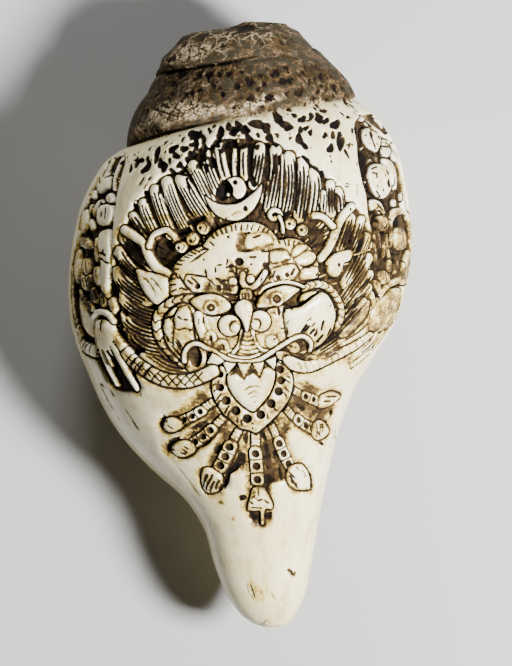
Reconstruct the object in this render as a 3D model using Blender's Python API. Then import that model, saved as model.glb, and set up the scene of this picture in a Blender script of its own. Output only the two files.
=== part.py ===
"""A chank shell (a thick, right-turning sea conch) with its back carved, lying on its mouth.

The carved back faces up (+Z), the spire points to +Y and the canal's tip to -Y. The shell is one
solid. Its surface is a radius round a nearly straight axis: one helical rule gives every whorl, and
the carving is a height added to that radius. Widths on the drawing are in squares of SQUARE mm,
x to the right from the drawing's left edge and v down from its top; heights are in mm.
"""

import math

import bpy
import numpy as np
from mathutils.geometry import delaunay_2d_cdt

MM = 0.001  # this script's lengths are millimetres, and Blender's are metres
LENGTH = 180.0  # apex to canal tip
APEX_V = 21.5
TIP_V = 628.0
SQUARE = LENGTH / (TIP_V - APEX_V)
MIDDLE_X = 239.5  # drawing x and v of the object's origin
MIDDLE_V = (APEX_V + TIP_V) / 2
FLATNESS = 0.93  # depth against width of a cross-section
AXIS_HEIGHT = 37.5  # of the shell's axis over the table
CANAL_DROP = 7.0  # how far the canal's end bends down towards the table

LIP_ANGLE = -140.0  # degrees round the axis from straight up, + towards +X
MOUTH_END_ANGLE = -222.0  # where the closed-over mouth meets the whorl before it
WALL = 5.6  # thickness of the outer wall at the lip
MOST_TRIANGLES = 8750


def curve(*points):
    """A smooth function through points (x, y), level beyond its ends."""
    x, y = np.array(points, float).T
    slope = np.gradient(y, x)

    def at(value):
        value = np.clip(value, x[0], x[-1])
        i = np.clip(np.searchsorted(x, value, side="right") - 1, 0, len(x) - 2)
        span = x[i + 1] - x[i]
        t = (value - x[i]) / span
        rise = y[i + 1] - y[i]
        return y[i] + t * (
            span * slope[i] * (1 - t) ** 2
            + rise * t * (3 - 2 * t)
            - span * slope[i + 1] * t * (1 - t)
        )

    return at


def smoothstep(t):
    t = np.clip(t, 0, 1)
    return t * t * (3 - 2 * t)


# Outline of the last whorl, seen from above: squares from the axis at each v.
left_edge = curve(
    (150, 131), (160, 146), (178, 160), (200, 172.5), (230, 182), (260, 188), (290, 191),
    (320, 190), (345, 184.5), (370, 175), (400, 162.5), (437, 141), (470, 113), (497, 85),
    (525, 68), (570, 56), (600, 44), (620, 25), (628, 0),
)  # fmt: skip
right_edge = curve(
    (98, 104.5), (115, 123.5), (140, 140), (180, 150.5), (220, 154.5), (240, 154.5),
    (268, 151), (300, 142), (330, 128.5), (360, 107.5), (390, 88), (420, 74.8), (460, 63),
    (500, 52.9), (540, 44), (580, 35.3), (600, 29.3), (618, 19.5), (628, 0),
)  # fmt: skip
# v of the seam between whorls at each angle, the turns counted on backwards from the mouth.
suture = curve(
    (-240, 207), (-180, 187), (-150, 174), (-90, 150), (-60, 143), (-30, 130), (0, 118.5),
    (30, 108), (60, 103), (90, 98), (180, 87), (270, 76), (360, 61), (450, 49), (540, 40),
    (630, 33), (720, 27), (810, 23), (900, 21.6), (1300, 21.5),
)  # fmt: skip
# How much wider the worn early whorls are than the helical rule makes them.
spire_width = curve((200, 1), (270, 1.02), (450, 1.055), (630, 1.2), (810, 1.1), (1000, 1))
# The worn, slightly tilted top: the widest radius it leaves at each v.
worn_left = curve((21.5, 0), (24.5, 8), (27, 17), (29, 27), (30, 38), (31.5, 49), (35, 61), (44, 84))
worn_right = curve((21.5, 0), (21.9, 15), (22.8, 30), (26, 40), (30, 48), (44, 84))


def axis_x(v):
    return 249.0 + 26.0 * (np.asarray(v) - 60.0) / 568.0


def axis_height(v):
    return AXIS_HEIGHT - CANAL_DROP * smoothstep((np.asarray(v) - 360.0) / 300.0)


def whorl(turn, v):
    """Radius in squares of the whorl at this angle, the turns counted backwards from the mouth."""
    top = suture(turn)
    down = np.clip((v - top) / (TIP_V - top), 0, 1)
    left = left_edge(150 + down * (TIP_V - 150))
    right = right_edge(98 + down * (TIP_V - 98))
    weight = np.clip((90 - turn) / 180, -6.5, 1.12)
    ratio = np.maximum(left, 1e-3) / np.maximum(right, 1e-3)
    return right * np.minimum(ratio, 1.9) ** weight * spire_width(turn)


def shell_radius(angle, v):
    """Radius in squares of the closed shell, with its mouth skinned over."""
    radius = whorl(angle + 1080, v)
    for turns in (720, 360, 0):
        turn = angle + turns
        radius = np.where(v >= suture(turn), whorl(turn, v), radius)
    for turn in (angle, angle - 360):
        closing = smoothstep((LIP_ANGLE - turn) / (LIP_ANGLE - MOUTH_END_ANGLE))
        in_mouth = (turn < LIP_ANGLE) & (turn > MOUTH_END_ANGLE) & (v >= suture(turn))
        over = whorl(turn, v) * (1 - closing) + whorl(turn + 360, v) * closing
        radius = np.where(in_mouth, over, radius)
    before = np.where(angle - 360 > MOUTH_END_ANGLE, suture(angle - 360), 1e9)
    seams = (before, suture(angle), suture(angle + 360), suture(angle + 720))
    seam = np.min([np.abs(v - row) for row in seams], 0)
    radius = radius - 2.6 * np.exp(-((seam / 2.8) ** 2)) * smoothstep((v - 32) / 14)
    side = (1 - np.sin(np.radians(angle))) / 2
    worn = worn_left(v) * side + worn_right(v) * (1 - side)
    return np.where(v < 44, np.minimum(radius, worn), radius) * (v < TIP_V)


def front_radius(v):
    """Radius that the drawing is rolled round at each v."""
    return np.maximum(shell_radius(np.zeros_like(v), v), 12.0)


def surface(angle, v, height):
    """Points in mm at these angles and v, raised by height, and flat where they meet the table."""
    turn = np.radians(angle)
    radius = shell_radius(angle, v) * SQUARE + height
    radius = np.maximum(radius, 0) * (v > APEX_V) * (v < TIP_V)
    x = (axis_x(v) - MIDDLE_X) * SQUARE + radius * np.sin(turn)
    y = (MIDDLE_V - v) * SQUARE
    z = axis_height(v) + FLATNESS * radius * np.cos(turn)
    return np.stack([x, y + 0 * x, np.maximum(z, 0)], -1)


class Drawing:
    """The carving's height over the smooth shell, on its skin rolled flat: a across, v down."""

    def __init__(self, step):
        self.step = step
        self.a = np.arange(-470, 470 + step, step)
        self.v = np.arange(15, 635 + step, step)
        self.height = np.zeros((len(self.v), len(self.a)))

    def window(self, points, margin):
        low, high = points.min(0) - margin, points.max(0) + margin
        columns = slice(*np.searchsorted(self.a, (low[0], high[0])))
        rows = slice(*np.searchsorted(self.v, (low[1], high[1])))
        return (rows, columns), *np.meshgrid(self.a[columns], self.v[rows])

    def at(self, a, v):
        """Height at these places, read between the drawing's points."""
        column = np.clip((a - self.a[0]) / self.step, 0, len(self.a) - 1)
        row = np.clip((v - self.v[0]) / self.step, 0, len(self.v) - 1)
        i = np.minimum(row.astype(int), len(self.v) - 2)
        j = np.minimum(column.astype(int), len(self.a) - 2)
        y, x = row - i, column - j
        h = self.height
        upper = h[i, j] * (1 - x) + h[i, j + 1] * x
        return upper * (1 - y) + (h[i + 1, j] * (1 - x) + h[i + 1, j + 1] * x) * y

    def shape(self, points, inside, moat):
        """Cuts a moat (width, depth) round a shape, then sets its inside to a level.

        inside is (level, crown, rim): the shape rises by crown over its outer rim squares.
        """
        window, a, v = self.window(points, 6.0)
        depth = signed_distance(points, a, v)
        width, drop = moat
        ditch = np.clip(1 + depth / width, 0, 1) * (depth < 0)
        ground = self.height[window] - drop * smoothstep(ditch * 1.6)
        level, crown, rim = inside
        swell = 1 - (1 - np.clip(depth / rim, 0, 1)) ** 2
        edge = smoothstep(depth / 0.8 + 0.5)
        self.height[window] = ground * (1 - edge) + (level + crown * swell) * edge

    def sink(self, points, level, edge):
        """Lowers the ground inside an outline to a level, over an edge this wide."""
        window, a, v = self.window(points, edge)
        amount = smoothstep(signed_distance(points, a, v) / edge + 0.5)
        self.height[window] = self.height[window] * (1 - amount) + level * amount

    def rope(self, points, width, inside, moat=None):
        """A round-backed band along a line, its width one number or one at each point."""
        width = np.broadcast_to(np.asarray(width, float), len(points))
        reach = width.max() / 2 + 5
        window, a, v = self.window(points, reach)
        distance, half = line_distance(points, a, v, width / 2)
        depth = half - distance
        h = self.height[window]
        if moat:
            ditch = np.clip(1 + depth / moat[0], 0, 1) * (depth < 0)
            h = h - moat[1] * smoothstep(ditch * 1.6)
        level, crown = inside
        round_back = np.sqrt(np.clip(1 - (distance / np.maximum(half, 0.1)) ** 2, 0, 1))
        edge = smoothstep(depth / 0.8 + 0.5)
        self.height[window] = h * (1 - edge) + (level + crown * round_back) * edge

    def hole(self, centre, radius, level, edge=1.2):
        """A drilled pit with a nearly flat floor."""
        centre = np.asarray(centre, float)
        window, a, v = self.window(centre[None], radius + edge)
        distance = np.hypot(a - centre[0], v - centre[1])
        amount = smoothstep((radius - distance) / edge + 0.5)
        h = self.height[window]
        self.height[window] = np.minimum(h, h * (1 - amount) + level * amount)


def line_distance(points, a, v, half):
    """Distance to the nearest place on a line, and the half width there."""
    best, width = np.full(a.shape, 1e9), np.zeros(a.shape)
    for (x0, y0), (x1, y1), w0, w1 in zip(points, points[1:], half, half[1:]):
        dx, dy = x1 - x0, y1 - y0
        t = np.clip(((a - x0) * dx + (v - y0) * dy) / max(dx * dx + dy * dy, 1e-9), 0, 1)
        distance = np.hypot(a - x0 - t * dx, v - y0 - t * dy)
        nearer = distance < best
        best = np.where(nearer, distance, best)
        width = np.where(nearer, w0 + (w1 - w0) * t, width)
    return best, width


def signed_distance(points, a, v):
    """Distance to a closed outline, positive inside it."""
    ring = np.vstack([points, points[:1]])
    distance, _ = line_distance(ring, a, v, np.zeros(len(ring)))
    inside = np.zeros(a.shape, bool)
    for (x0, y0), (x1, y1) in zip(ring, ring[1:]):
        crosses = (y0 > v) != (y1 > v)
        inside ^= crosses & (a < x0 + (v - y0) * (x1 - x0) / (y1 - y0 + (y1 == y0)))
    return np.where(inside, distance, -distance)


def rolled(points):
    """Points seen from above (x, v), as places on the rolled-out skin (a, v)."""
    x, v = np.array(points, float).T
    roll = front_radius(v)
    angle = np.arcsin(np.clip((x - axis_x(v)) / roll, -0.98, 0.98))
    for _ in range(5):
        radius = shell_radius(np.degrees(angle), v)
        angle = np.arcsin(np.clip((x - axis_x(v)) / radius, -0.99, 0.99))
    return np.stack([angle * roll, v], -1)


def bent(points, closed=False, steps=4):
    """A smooth line through hand-set points."""
    p = np.array(points, float)
    before = np.roll(p, 1, 0)
    after = np.roll(p, -1, 0)
    after2 = np.roll(p, -2, 0)
    if not closed:
        before[0], after[-1] = p[0], p[-1]
        after2[-1], after2[-2] = p[-1], p[-1]
    t = (np.arange(steps) / steps)[None, :, None]
    b, p0, p1, n = (q[:, None] for q in (before, p, after, after2))
    made = 0.5 * (
        2 * p0 + (p1 - b) * t + (2 * b - 5 * p0 + 4 * p1 - n) * t**2
        + (3 * p0 - b - 3 * p1 + n) * t**3
    )  # fmt: skip
    if closed:
        return made.reshape(-1, p.shape[1])
    return np.vstack([made[:-1].reshape(-1, p.shape[1]), p[-1:]])


def grid_of_angles(step):
    return np.linspace(-180, 180, round(360 / step) + 1)


def v_of(t):
    """v at distance t along the shell, the rows drawn closer together at its two ends."""
    end = 10.0
    length = TIP_V - APEX_V + end
    t = np.asarray(t, float)
    near_top = t**2 / (2 * end)
    near_tip = TIP_V - APEX_V - (length - t) ** 2 / (2 * end)
    return APEX_V + np.where(t < end, near_top, np.where(t > length - end, near_tip, t - end / 2))


ROWS_LENGTH = TIP_V - APEX_V + 10.0
DEGREE = 2.9  # squares to a degree at the shell's widest


class Skin:
    """The carved skin's points, worked out once on a fine grid and read between."""

    def __init__(self, drawing, step=1.0):
        self.angles = grid_of_angles(step / DEGREE)
        self.rows = np.linspace(0, ROWS_LENGTH, round(ROWS_LENGTH / step) + 1)
        angle, row = np.meshgrid(self.angles, self.rows)
        v = v_of(row)
        height = drawing.at(np.radians(angle) * front_radius(v), v)
        self.points = surface(angle, v, height)
        self.points[:, -1] = self.points[:, 0]

    def at(self, angle, row):
        x = np.clip((angle + 180) / 360, 0, 1) * (len(self.angles) - 1)
        y = np.clip(row / ROWS_LENGTH, 0, 1) * (len(self.rows) - 1)
        i = np.minimum(y.astype(int), len(self.rows) - 2)
        j = np.minimum(x.astype(int), len(self.angles) - 2)
        y, x = (y - i)[..., None], (x - j)[..., None]
        p = self.points
        upper = p[i, j] * (1 - x) + p[i, j + 1] * x
        return upper * (1 - y) + (p[i + 1, j] * (1 - x) + p[i + 1, j + 1] * x) * y


def triangulate(skin, most, first_angle=15.0, first_row=25.0):
    """Points and triangles that follow the skin closely, added where the mesh is worst."""
    end = np.array([0.0, 2, 4, 7, 11, 17, 26])
    rows = np.concatenate([end, np.arange(45, ROWS_LENGTH - 40, first_row), ROWS_LENGTH - end[::-1]])
    x, y = np.meshgrid(grid_of_angles(first_angle) * DEGREE, rows)
    places = np.stack([x.ravel(), y.ravel()], -1)
    n = 7
    weights = [(i, j, n - i - j) for i in range(n + 1) for j in range(n + 1 - i)]
    weights = np.array([w for w in weights if max(w) < n]) / n
    while True:
        made, _, faces, *_ = delaunay_2d_cdt(places.tolist(), [], [], 0, 1e-7, False)
        places = np.array([tuple(p) for p in made])
        faces = np.array(faces)
        points = skin.at(places[:, 0] / DEGREE, places[:, 1])
        if len(faces) >= most:
            return points, faces[:, ::-1]
        samples = np.einsum("sk,fkd->fsd", weights, places[faces])
        true = skin.at(samples[..., 0] / DEGREE, samples[..., 1])
        error = np.linalg.norm(true - np.einsum("sk,fkd->fsd", weights, points[faces]), axis=-1)
        worst = error.argmax(1)
        worn_top = smoothstep(samples[:, 0, 1] / 75 + 0.15)
        score = error[np.arange(len(faces)), worst] * worn_top
        room = (most - len(faces)) // 2 + 8
        take = np.argsort(-score)[: min(room, max(len(faces) // 5, 60))]
        new = samples[take, worst[take]]
        on_seam = np.abs(new[:, 0]) > (180 - 0.8) * DEGREE
        new[on_seam, 0] = 180 * DEGREE
        places = np.vstack([places, new, new[on_seam] * (-1, 1)])


# The carving, in drawing squares as seen from above.
HAIR_GROUND = [
    (150, 353), (128, 334), (117, 303), (112, 275), (116, 243), (130, 212), (146, 192), (160, 178),
    (176, 172), (190, 159), (208, 149), (226, 141), (256, 141), (278, 146), (300, 156), (319, 170),
    (341, 190), (355, 205), (368, 228), (373, 258), (374, 290), (362, 316), (342, 338), (318, 354),
    (295, 362), (255, 366), (215, 372), (185, 371), (165, 362),
]  # fmt: skip
LEFT_FIGURES = [
    (125, 157), (118, 180), (114, 205), (112, 235), (109, 262), (109, 290), (117, 300), (119, 318),
    (126, 338), (140, 352), (133, 368), (140, 386), (128, 391), (112, 388), (103, 372), (97, 360),
    (84, 352), (73, 336), (70, 312), (68, 290), (71, 262), (76, 232), (84, 202), (93, 180), (108, 162),
]  # fmt: skip
RIGHT_FIGURES = [
    (356, 122), (366, 113), (380, 124), (392, 142), (400, 165), (405, 190), (409, 220), (410, 250),
    (405, 280), (396, 285), (383, 299), (378, 298), (376, 270), (372, 235), (367, 205), (362, 185),
    (358, 160),
]  # fmt: skip
# Each lock of hair: its middle line from the root to the tip, and its width.
HAIR_LOCKS = [
    ([(160, 346), (148, 343), (139, 338), (130, 330)], 9),
    ([(159, 328), (145, 326), (133, 321), (122, 311)], 11),
    ([(157, 313), (140, 309), (126, 302), (116, 291)], 12),
    ([(150, 297), (137, 289), (125, 281), (115, 270)], 12),
    ([(142, 274), (132, 268), (123, 260), (117, 250)], 12),
    ([(147, 262), (138, 253), (129, 244), (122, 234)], 11),
    ([(146, 239), (141, 231), (135, 222), (130, 213)], 9),
    ([(154, 234), (149, 222), (144, 212), (140, 202)], 11),
    ([(168, 232), (161, 215), (157, 203), (153, 189)], 11),
    ([(187, 231), (176, 211), (169, 196), (163, 180)], 9),
    ([(204, 221), (193, 206), (184, 191), (178, 177)], 13),
    ([(209, 203), (202, 189), (197, 177), (192, 162)], 11),
    ([(216, 188), (210, 174), (207, 164), (204, 152)], 10),
    ([(221, 181), (219, 168), (218, 158), (216, 147)], 8),
    ([(230, 178), (227, 166), (225, 155), (224, 144)], 7),
    ([(234, 176), (234, 166), (235, 157), (238, 147)], 7),
    ([(245, 178), (244, 167), (244, 157), (245, 147)], 8),
    ([(256, 186), (259, 172), (260, 160), (260, 145)], 12),
    ([(270, 204), (275, 185), (277, 168), (276, 148)], 11),
    ([(281, 211), (283, 195), (285, 178), (285, 160)], 7),
    ([(288, 213), (291, 195), (292, 175), (291, 154)], 12),
    ([(300, 216), (303, 198), (304, 180), (301, 158)], 11),
    ([(313, 214), (315, 198), (316, 183), (313, 167)], 11),
    ([(323, 213), (325, 200), (325, 190), (322, 182)], 8),
    ([(332, 214), (333, 203), (332, 192), (328, 180)], 9),
    ([(341, 217), (342, 206), (340, 195), (335, 184)], 8),
    ([(341, 251), (347, 238), (352, 225), (353, 212)], 10),
    ([(351, 256), (357, 241), (361, 227), (362, 213)], 9),
    ([(344, 283), (354, 267), (362, 250), (367, 234)], 9),
    ([(343, 299), (355, 284), (364, 268), (370, 252)], 10),
    ([(346, 309), (358, 295), (367, 281), (371, 265)], 8),
    ([(335, 331), (350, 314), (362, 301), (371, 284)], 9),
    ([(318, 347), (336, 338), (356, 320), (371, 300)], 14),
]
CROWN = [
    (173, 298), (171, 288), (171, 278), (174, 268), (183, 257), (194, 250), (204, 246), (212, 235),
    (222, 229), (234, 224.5), (247, 223.5), (260, 226), (271, 232), (278, 240), (288, 239),
    (300, 241.5), (309, 247.5), (316, 257), (318, 270), (316, 280), (303, 284), (290, 281),
    (274, 284), (262, 290), (254, 297), (246, 291), (238, 288), (230, 294), (212, 293), (193, 294),
    (184, 298),
]  # fmt: skip
LEFT_EYE = [(190, 300), (198, 295), (209, 293.5), (220, 296), (230, 307), (222, 313), (209, 315), (198, 309)]
RIGHT_EYE = [(257, 307), (260, 296), (269, 290), (284, 285.5), (299, 290), (288, 301), (277, 306), (266, 308)]
NOSE = [
    (236, 303), (241, 300.5), (248, 301.5), (253, 308), (251, 318), (248, 327), (243, 326),
    (239, 319), (234.5, 309),
]  # fmt: skip
FACE_MIDDLE = [
    (195, 312), (205, 316), (240, 318), (285, 310), (290, 338), (268, 356), (240, 362), (200, 347),
]
MUZZLE_LEFT = [(201, 334), (212, 331), (222, 336), (233, 337), (240, 340), (236, 350), (222, 355), (206, 348)]
MUZZLE_RIGHT = [(253, 332), (264, 335), (280, 333), (286, 338), (278, 346), (266, 351), (256, 346)]
CHEEK_LEFT = [
    (166, 315), (176, 305), (187, 305), (195, 316), (200, 335), (200, 345), (190, 350), (185, 362),
    (175, 352), (165, 338), (163, 325),
]  # fmt: skip
CHEEK_RIGHT = [
    (288, 306), (300, 297), (314, 293), (325, 295), (334, 305), (336, 320), (330, 335), (318, 345),
    (308, 350), (303, 338), (290, 338), (285, 322),
]  # fmt: skip
LEFT_EAR = [
    (137, 271), (147, 272), (160, 277), (169, 283), (169, 296), (158, 305), (147, 298), (141, 288),
]
RIGHT_EAR = [(323, 268), (332, 258), (342, 253), (353, 251), (351, 261), (343, 268), (341, 280), (334, 284)]
TONGUE = [
    (227, 374), (227, 384), (232, 394), (241, 404), (253, 411), (262, 404), (269, 395), (275, 381),
    (274, 369), (266, 366), (259, 374), (251, 371), (243, 378), (235, 370),
]
COLLAR = [
    (220, 366), (213, 376), (211.5, 386), (215, 401), (224, 414), (236, 425), (248, 430),
    (256, 432), (264, 427), (275, 417), (287, 402), (292.5, 386), (290, 371), (279, 360),
    (276, 377), (268, 397), (254, 413), (237, 402), (227, 384), (226, 370),
]  # fmt: skip
COLLAR_HOLES = [
    (220, 374), (220, 387), (226.5, 400), (236, 410), (247, 418), (260.5, 414), (271, 403),
    (278.5, 391), (281, 380), (280, 369),
]
# Each tassel: its cord, its pierced plates' centres, and the outline of the pendant at its end.
TASSELS = [
    ([(255, 430), (255, 449)], [(255, 453), (256, 465.5), (257, 479)],
     [(251, 486), (263, 486), (270, 498), (273, 508), (263, 511), (261, 523), (258, 523), (257, 511),
      (246, 508), (247, 498)]),
    ([(239, 426), (231, 442)], [(229, 446), (224.5, 456), (219.5, 466)],
     [(202, 469), (211, 469), (220, 477), (221, 485), (213, 492), (204, 491), (200, 480)]),
    ([(271, 422), (278, 438)], [(279.5, 443), (284, 453), (289, 463)],
     [(290, 468), (302, 463), (309, 472), (313, 486), (302, 490), (290, 485), (287, 476)]),
    ([(221, 418), (212, 427)], [(209.5, 429.5), (202, 436), (194, 441)],
     [(174, 444), (184, 440), (193, 447), (190, 454), (178, 456), (170, 450)]),
    ([(212, 402), (202, 409)], [(199, 411), (191, 415.5), (183, 419)],
     [(163, 421), (168, 416), (178, 418), (180, 425), (175, 431), (166, 431)]),
    ([(292, 390), (303, 395)], [(306.5, 396), (314, 399), (321, 402)],
     [(322, 394), (332, 391), (340, 395), (334, 403), (322, 407)]),
    ([(286, 408), (296, 417)], [(299, 419.5), (306, 424.5)],
     [(311, 423), (321, 420), (328, 427), (328, 434), (317, 440), (311, 433)]),
]  # fmt: skip
SNAKE = [
    ([(123, 351), (133, 361), (144, 369), (157, 377), (172, 381), (186, 381), (208, 374)], 12.5),
    ([(291, 361), (303, 366), (316, 364), (332, 358), (350, 349), (369, 336), (378, 326)], 12),
    ([(95, 352), (84, 343), (76, 332), (72, 312), (70, 285)], 9),
]
MOON = [
    (205, 198), (210, 209), (217, 217), (229, 221.5), (241, 220.5), (253, 213), (260, 202), (262, 187),
    (258, 192), (250, 199), (240, 204), (228, 206), (216, 204.5), (207, 199.5),
]  # fmt: skip
SUN = [(226, 190), (229, 182), (237, 179.5), (244, 184), (246, 191), (243, 198), (235, 200.5), (228, 197)]
LIP_LINE = [
    (199, 345), (213, 350.5), (225, 357), (240, 361), (255, 361), (267, 356.5), (276, 350), (290, 341),
]
TEETH = [
    [(223, 360), (233, 361), (227, 373)], [(237, 362), (250, 362.5), (244, 377)],
    [(253, 362.5), (265, 361), (259.5, 376)], [(267, 360), (275, 356), (274, 368)],
    [(211, 352), (223, 361), (205, 369)], [(277, 352), (290, 350), (297, 362), (283, 360)],
]  # fmt: skip
HORNS = [
    ([(124, 230), (135, 238), (146, 247), (149, 258), (157, 269), (168, 275)], 10),
    ([(147, 248), (153, 237), (164, 233), (176, 240)], 7),
    ([(352, 208), (341, 223), (333, 240), (323, 258)], 9),
    ([(314, 217), (323, 219), (332, 226)], 6),
]
CURLS = [(203, 228), (193, 239), (181, 247), (275, 217), (290, 225), (302, 231)]
BROW_BEADS = [
    (175, 301), (166, 306), (159, 313), (156, 320), (156, 328), (160, 337), (165, 346), (174, 356),
    (308, 286), (319, 285.5), (329, 289), (338, 297), (342, 307), (343, 318),
]
# Borers' holes and dead-coral pits in the white shoulder: place, half width, half height.
PITS = [
    (191.5, 137, 4.5, 4), (203, 140, 3.2, 5), (218, 138, 3.5, 4.5), (170, 153, 5, 4), (158, 159, 3.5, 6),
    (138, 162, 5, 3), (145, 174, 6.5, 4), (185, 160, 3.5, 6), (211, 151, 3.5, 4.5), (232, 134, 5, 4),
    (247, 123.5, 6, 2.8), (263, 127.5, 5.5, 4), (227, 144, 4.5, 4), (288, 128, 4.5, 3), (338, 145, 4, 5),
    (331, 150, 4, 4), (300, 139, 3.2, 5), (319, 122, 3.5, 3.5), (338, 122, 3.5, 3.5), (307, 151, 5.5, 2.6),
    (244, 30, 9, 4), (202, 69, 5, 3), (221, 66, 5, 3.5), (182, 71, 5, 3), (198, 76, 4.5, 3.5),
    (224, 192, 8, 8.5), (163, 250, 8, 9), (87, 253, 4.5, 4.5), (170, 245, 6, 5), (318, 232, 5, 9),
    (240, 459, 6, 9), (225, 481, 4.5, 7), (265, 454, 3.5, 11), (268, 480, 6, 5), (241, 497, 2.5, 3),
    (252, 514, 4, 4.5), (268, 515, 4, 4.5), (115, 373, 7, 6),
]


def outline(points):
    return rolled(bent(points, closed=True))


def line(points):
    return rolled(bent(points))


def carve_grounds(drawing):
    """The sunk grounds that the figures and the hair stand in."""
    drawing.sink(outline(HAIR_GROUND), -2.1, 3.0)
    drawing.sink(outline(LEFT_FIGURES), -1.6, 3.0)
    drawing.sink(outline(RIGHT_FIGURES), -1.6, 3.0)
    for cord, plates, pendant in TASSELS:
        path = np.array([cord[0], *plates, np.mean(pendant, 0)])
        drawing.rope(line(path), 26, (-0.95, 0.0))
        drawing.sink(outline(pendant + (np.array(pendant) - np.mean(pendant, 0)) * 0.35), -0.9, 6.0)


def carve_hair(drawing):
    for path, width in HAIR_LOCKS:
        points = line(path)
        taper = np.linspace(0, 1, len(points))
        widths = width * np.clip((1.06 - taper) * 2.6, 0.05, 1) * (0.8 + 0.2 * np.sin(np.pi * taper))
        drawing.rope(points, widths, (-0.9, 0.75))


def carve_head(drawing):
    for path, width in HORNS:
        drawing.rope(line(path), width, (-0.6, 1.0), (2.5, 0.8))
    for ear in (LEFT_EAR, RIGHT_EAR):
        drawing.shape(outline(ear), (-0.7, 0.9, 7), (2.5, 0.9))
    for cheek in (CHEEK_LEFT, CHEEK_RIGHT):
        drawing.shape(outline(cheek), (-0.6, 1.3, 14), (3, 0.9))
    for x, v in BROW_BEADS:
        centre = rolled([(x, v)])
        drawing.rope(np.vstack([centre, centre + (0.1, 0)]), 8.6, (-1.1, 1.3), (2, 0.5))
    drawing.shape(outline(FACE_MIDDLE), (-0.7, 0.9, 18), (3, 0.7))
    drawing.shape(outline(CROWN), (-0.2, 1.3, 16), (3, 1.2))
    for x, v in CURLS:
        centre = rolled([(x, v)])
        drawing.rope(np.vstack([centre, centre + (0.1, 0)]), 12.5, (-0.9, 1.2), (2.5, 0.8))
        drawing.hole(centre[0], 1.8, -0.6)
    for eye, pupil in ((LEFT_EYE, (212, 307)), (RIGHT_EYE, (276.5, 298.5))):
        drawing.shape(outline(eye), (-0.3, 1.4, 9), (3, 1.3))
        centre = rolled([pupil])
        drawing.rope(np.vstack([centre, centre + (0.1, 0)]), 15, (0.7, 0.8), (1.5, 0.5))
        drawing.hole(centre[0], 3.6, 0.3)
    for pad in (MUZZLE_LEFT, MUZZLE_RIGHT):
        drawing.shape(outline(pad), (-0.1, 0.9, 8), (2, 0.5))
    for x, v, wide in ((231, 325, 21), (261, 321, 18.5)):
        centre = rolled([(x, v)])
        drawing.rope(np.vstack([centre, centre + (0.1, 0)]), wide, (0.2, 1.7), (2.5, 1.0))
        drawing.hole(centre[0], 3.0, 0.9)
    drawing.shape(outline(NOSE), (0.6, 2.2, 8), (2.5, 1.2))
    drawing.rope(line(LIP_LINE), 5, (0.2, 0.5), (2, 0.8))


def carve_mouth(drawing):
    drawing.sink(rolled([(205, 352), (240, 364), (275, 356), (295, 352), (280, 372), (215, 375)]), -1.9, 3.0)
    for x, v, wide in ((194, 357, 15), (300.5, 345, 16)):
        centre = rolled([(x, v)])
        drawing.rope(centre + np.array([(0, -3), (0, 3)]), wide, (0.1, 0.4), (3, 0.8))
        drawing.hole(centre[0], wide * 0.33, -1.6)
    drawing.shape(outline(COLLAR), (-0.3, 0.7, 6), (2.5, 1.1))
    drawing.shape(outline(TONGUE), (-0.2, 1.1, 16), (2, 1.2))
    for tooth in TEETH:
        drawing.shape(rolled(tooth), (-0.1, 0.7, 5), (2, 0.9))
    for centre in rolled(COLLAR_HOLES):
        drawing.hole(centre, 4.2, -2.0)
    for path, width in SNAKE:
        drawing.rope(line(path), width, (-0.5, 0.8), (3, 1.0))


def carve_tassels(drawing):
    for cord, plates, pendant in TASSELS:
        drawing.rope(line(cord), 8, (-0.5, 0.6), (2.5, 0.9))
        drawing.rope(line(plates), 12.5, (-0.4, 0.5), (2.5, 1.0))
        for centre in rolled(plates):
            drawing.hole(centre, 3.8, -2.0)
        drawing.shape(outline(pendant), (-0.4, 1.0, 7), (2.5, 1.1))


def carve_sky(drawing):
    drawing.shape(outline(MOON), (-0.3, 0.5, 5), (2.5, 0.9))
    drawing.shape(outline(SUN), (-0.5, 0.7, 6), (2.5, 0.9))


def carve_left_figures(drawing):
    for path, width in (
        ([(110, 233), (108, 262), (108, 282), (107, 300)], 12),
        ([(94, 320), (98, 313), (106, 313), (114, 320)], 6),
        ([(112, 347), (119, 362), (128, 377), (137, 388)], 8),
        ([(100, 350), (104, 363), (111, 378), (117, 386)], 5),
        ([(96, 262), (97, 275), (99, 288)], 6),
        ([(79, 238), (77, 260), (79, 285)], 6),
    ):
        drawing.rope(line(path), width, (-0.7, 1.0), (2.5, 0.6))
    for points in (
        [(96, 320), (104, 318), (114, 323), (124, 345), (118, 352), (104, 352), (96, 340)],
        [(108, 193), (113, 197), (111, 203), (106, 201)],
        [(100, 207), (110, 204), (114, 214), (110, 227), (101, 227), (97, 217)],
        [(96, 181), (104, 173), (109, 180), (107, 190), (98, 195)],
        [(91, 204), (97, 200), (99, 210), (93, 218)], [(83, 262), (88, 259), (91, 270), (86, 278), (82, 272)],
        [(84, 240), (89, 236), (91, 246), (86, 250)], [(85, 280), (90, 276), (92, 286), (87, 292)],
        [(90, 290), (95, 286), (97, 300), (92, 305)], [(84, 296), (88, 312), (93, 330), (87, 330), (82, 315)],
    ):  # fmt: skip
        drawing.shape(outline(points), (-0.8, 1.0, 5), (2, 0.6))


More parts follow.
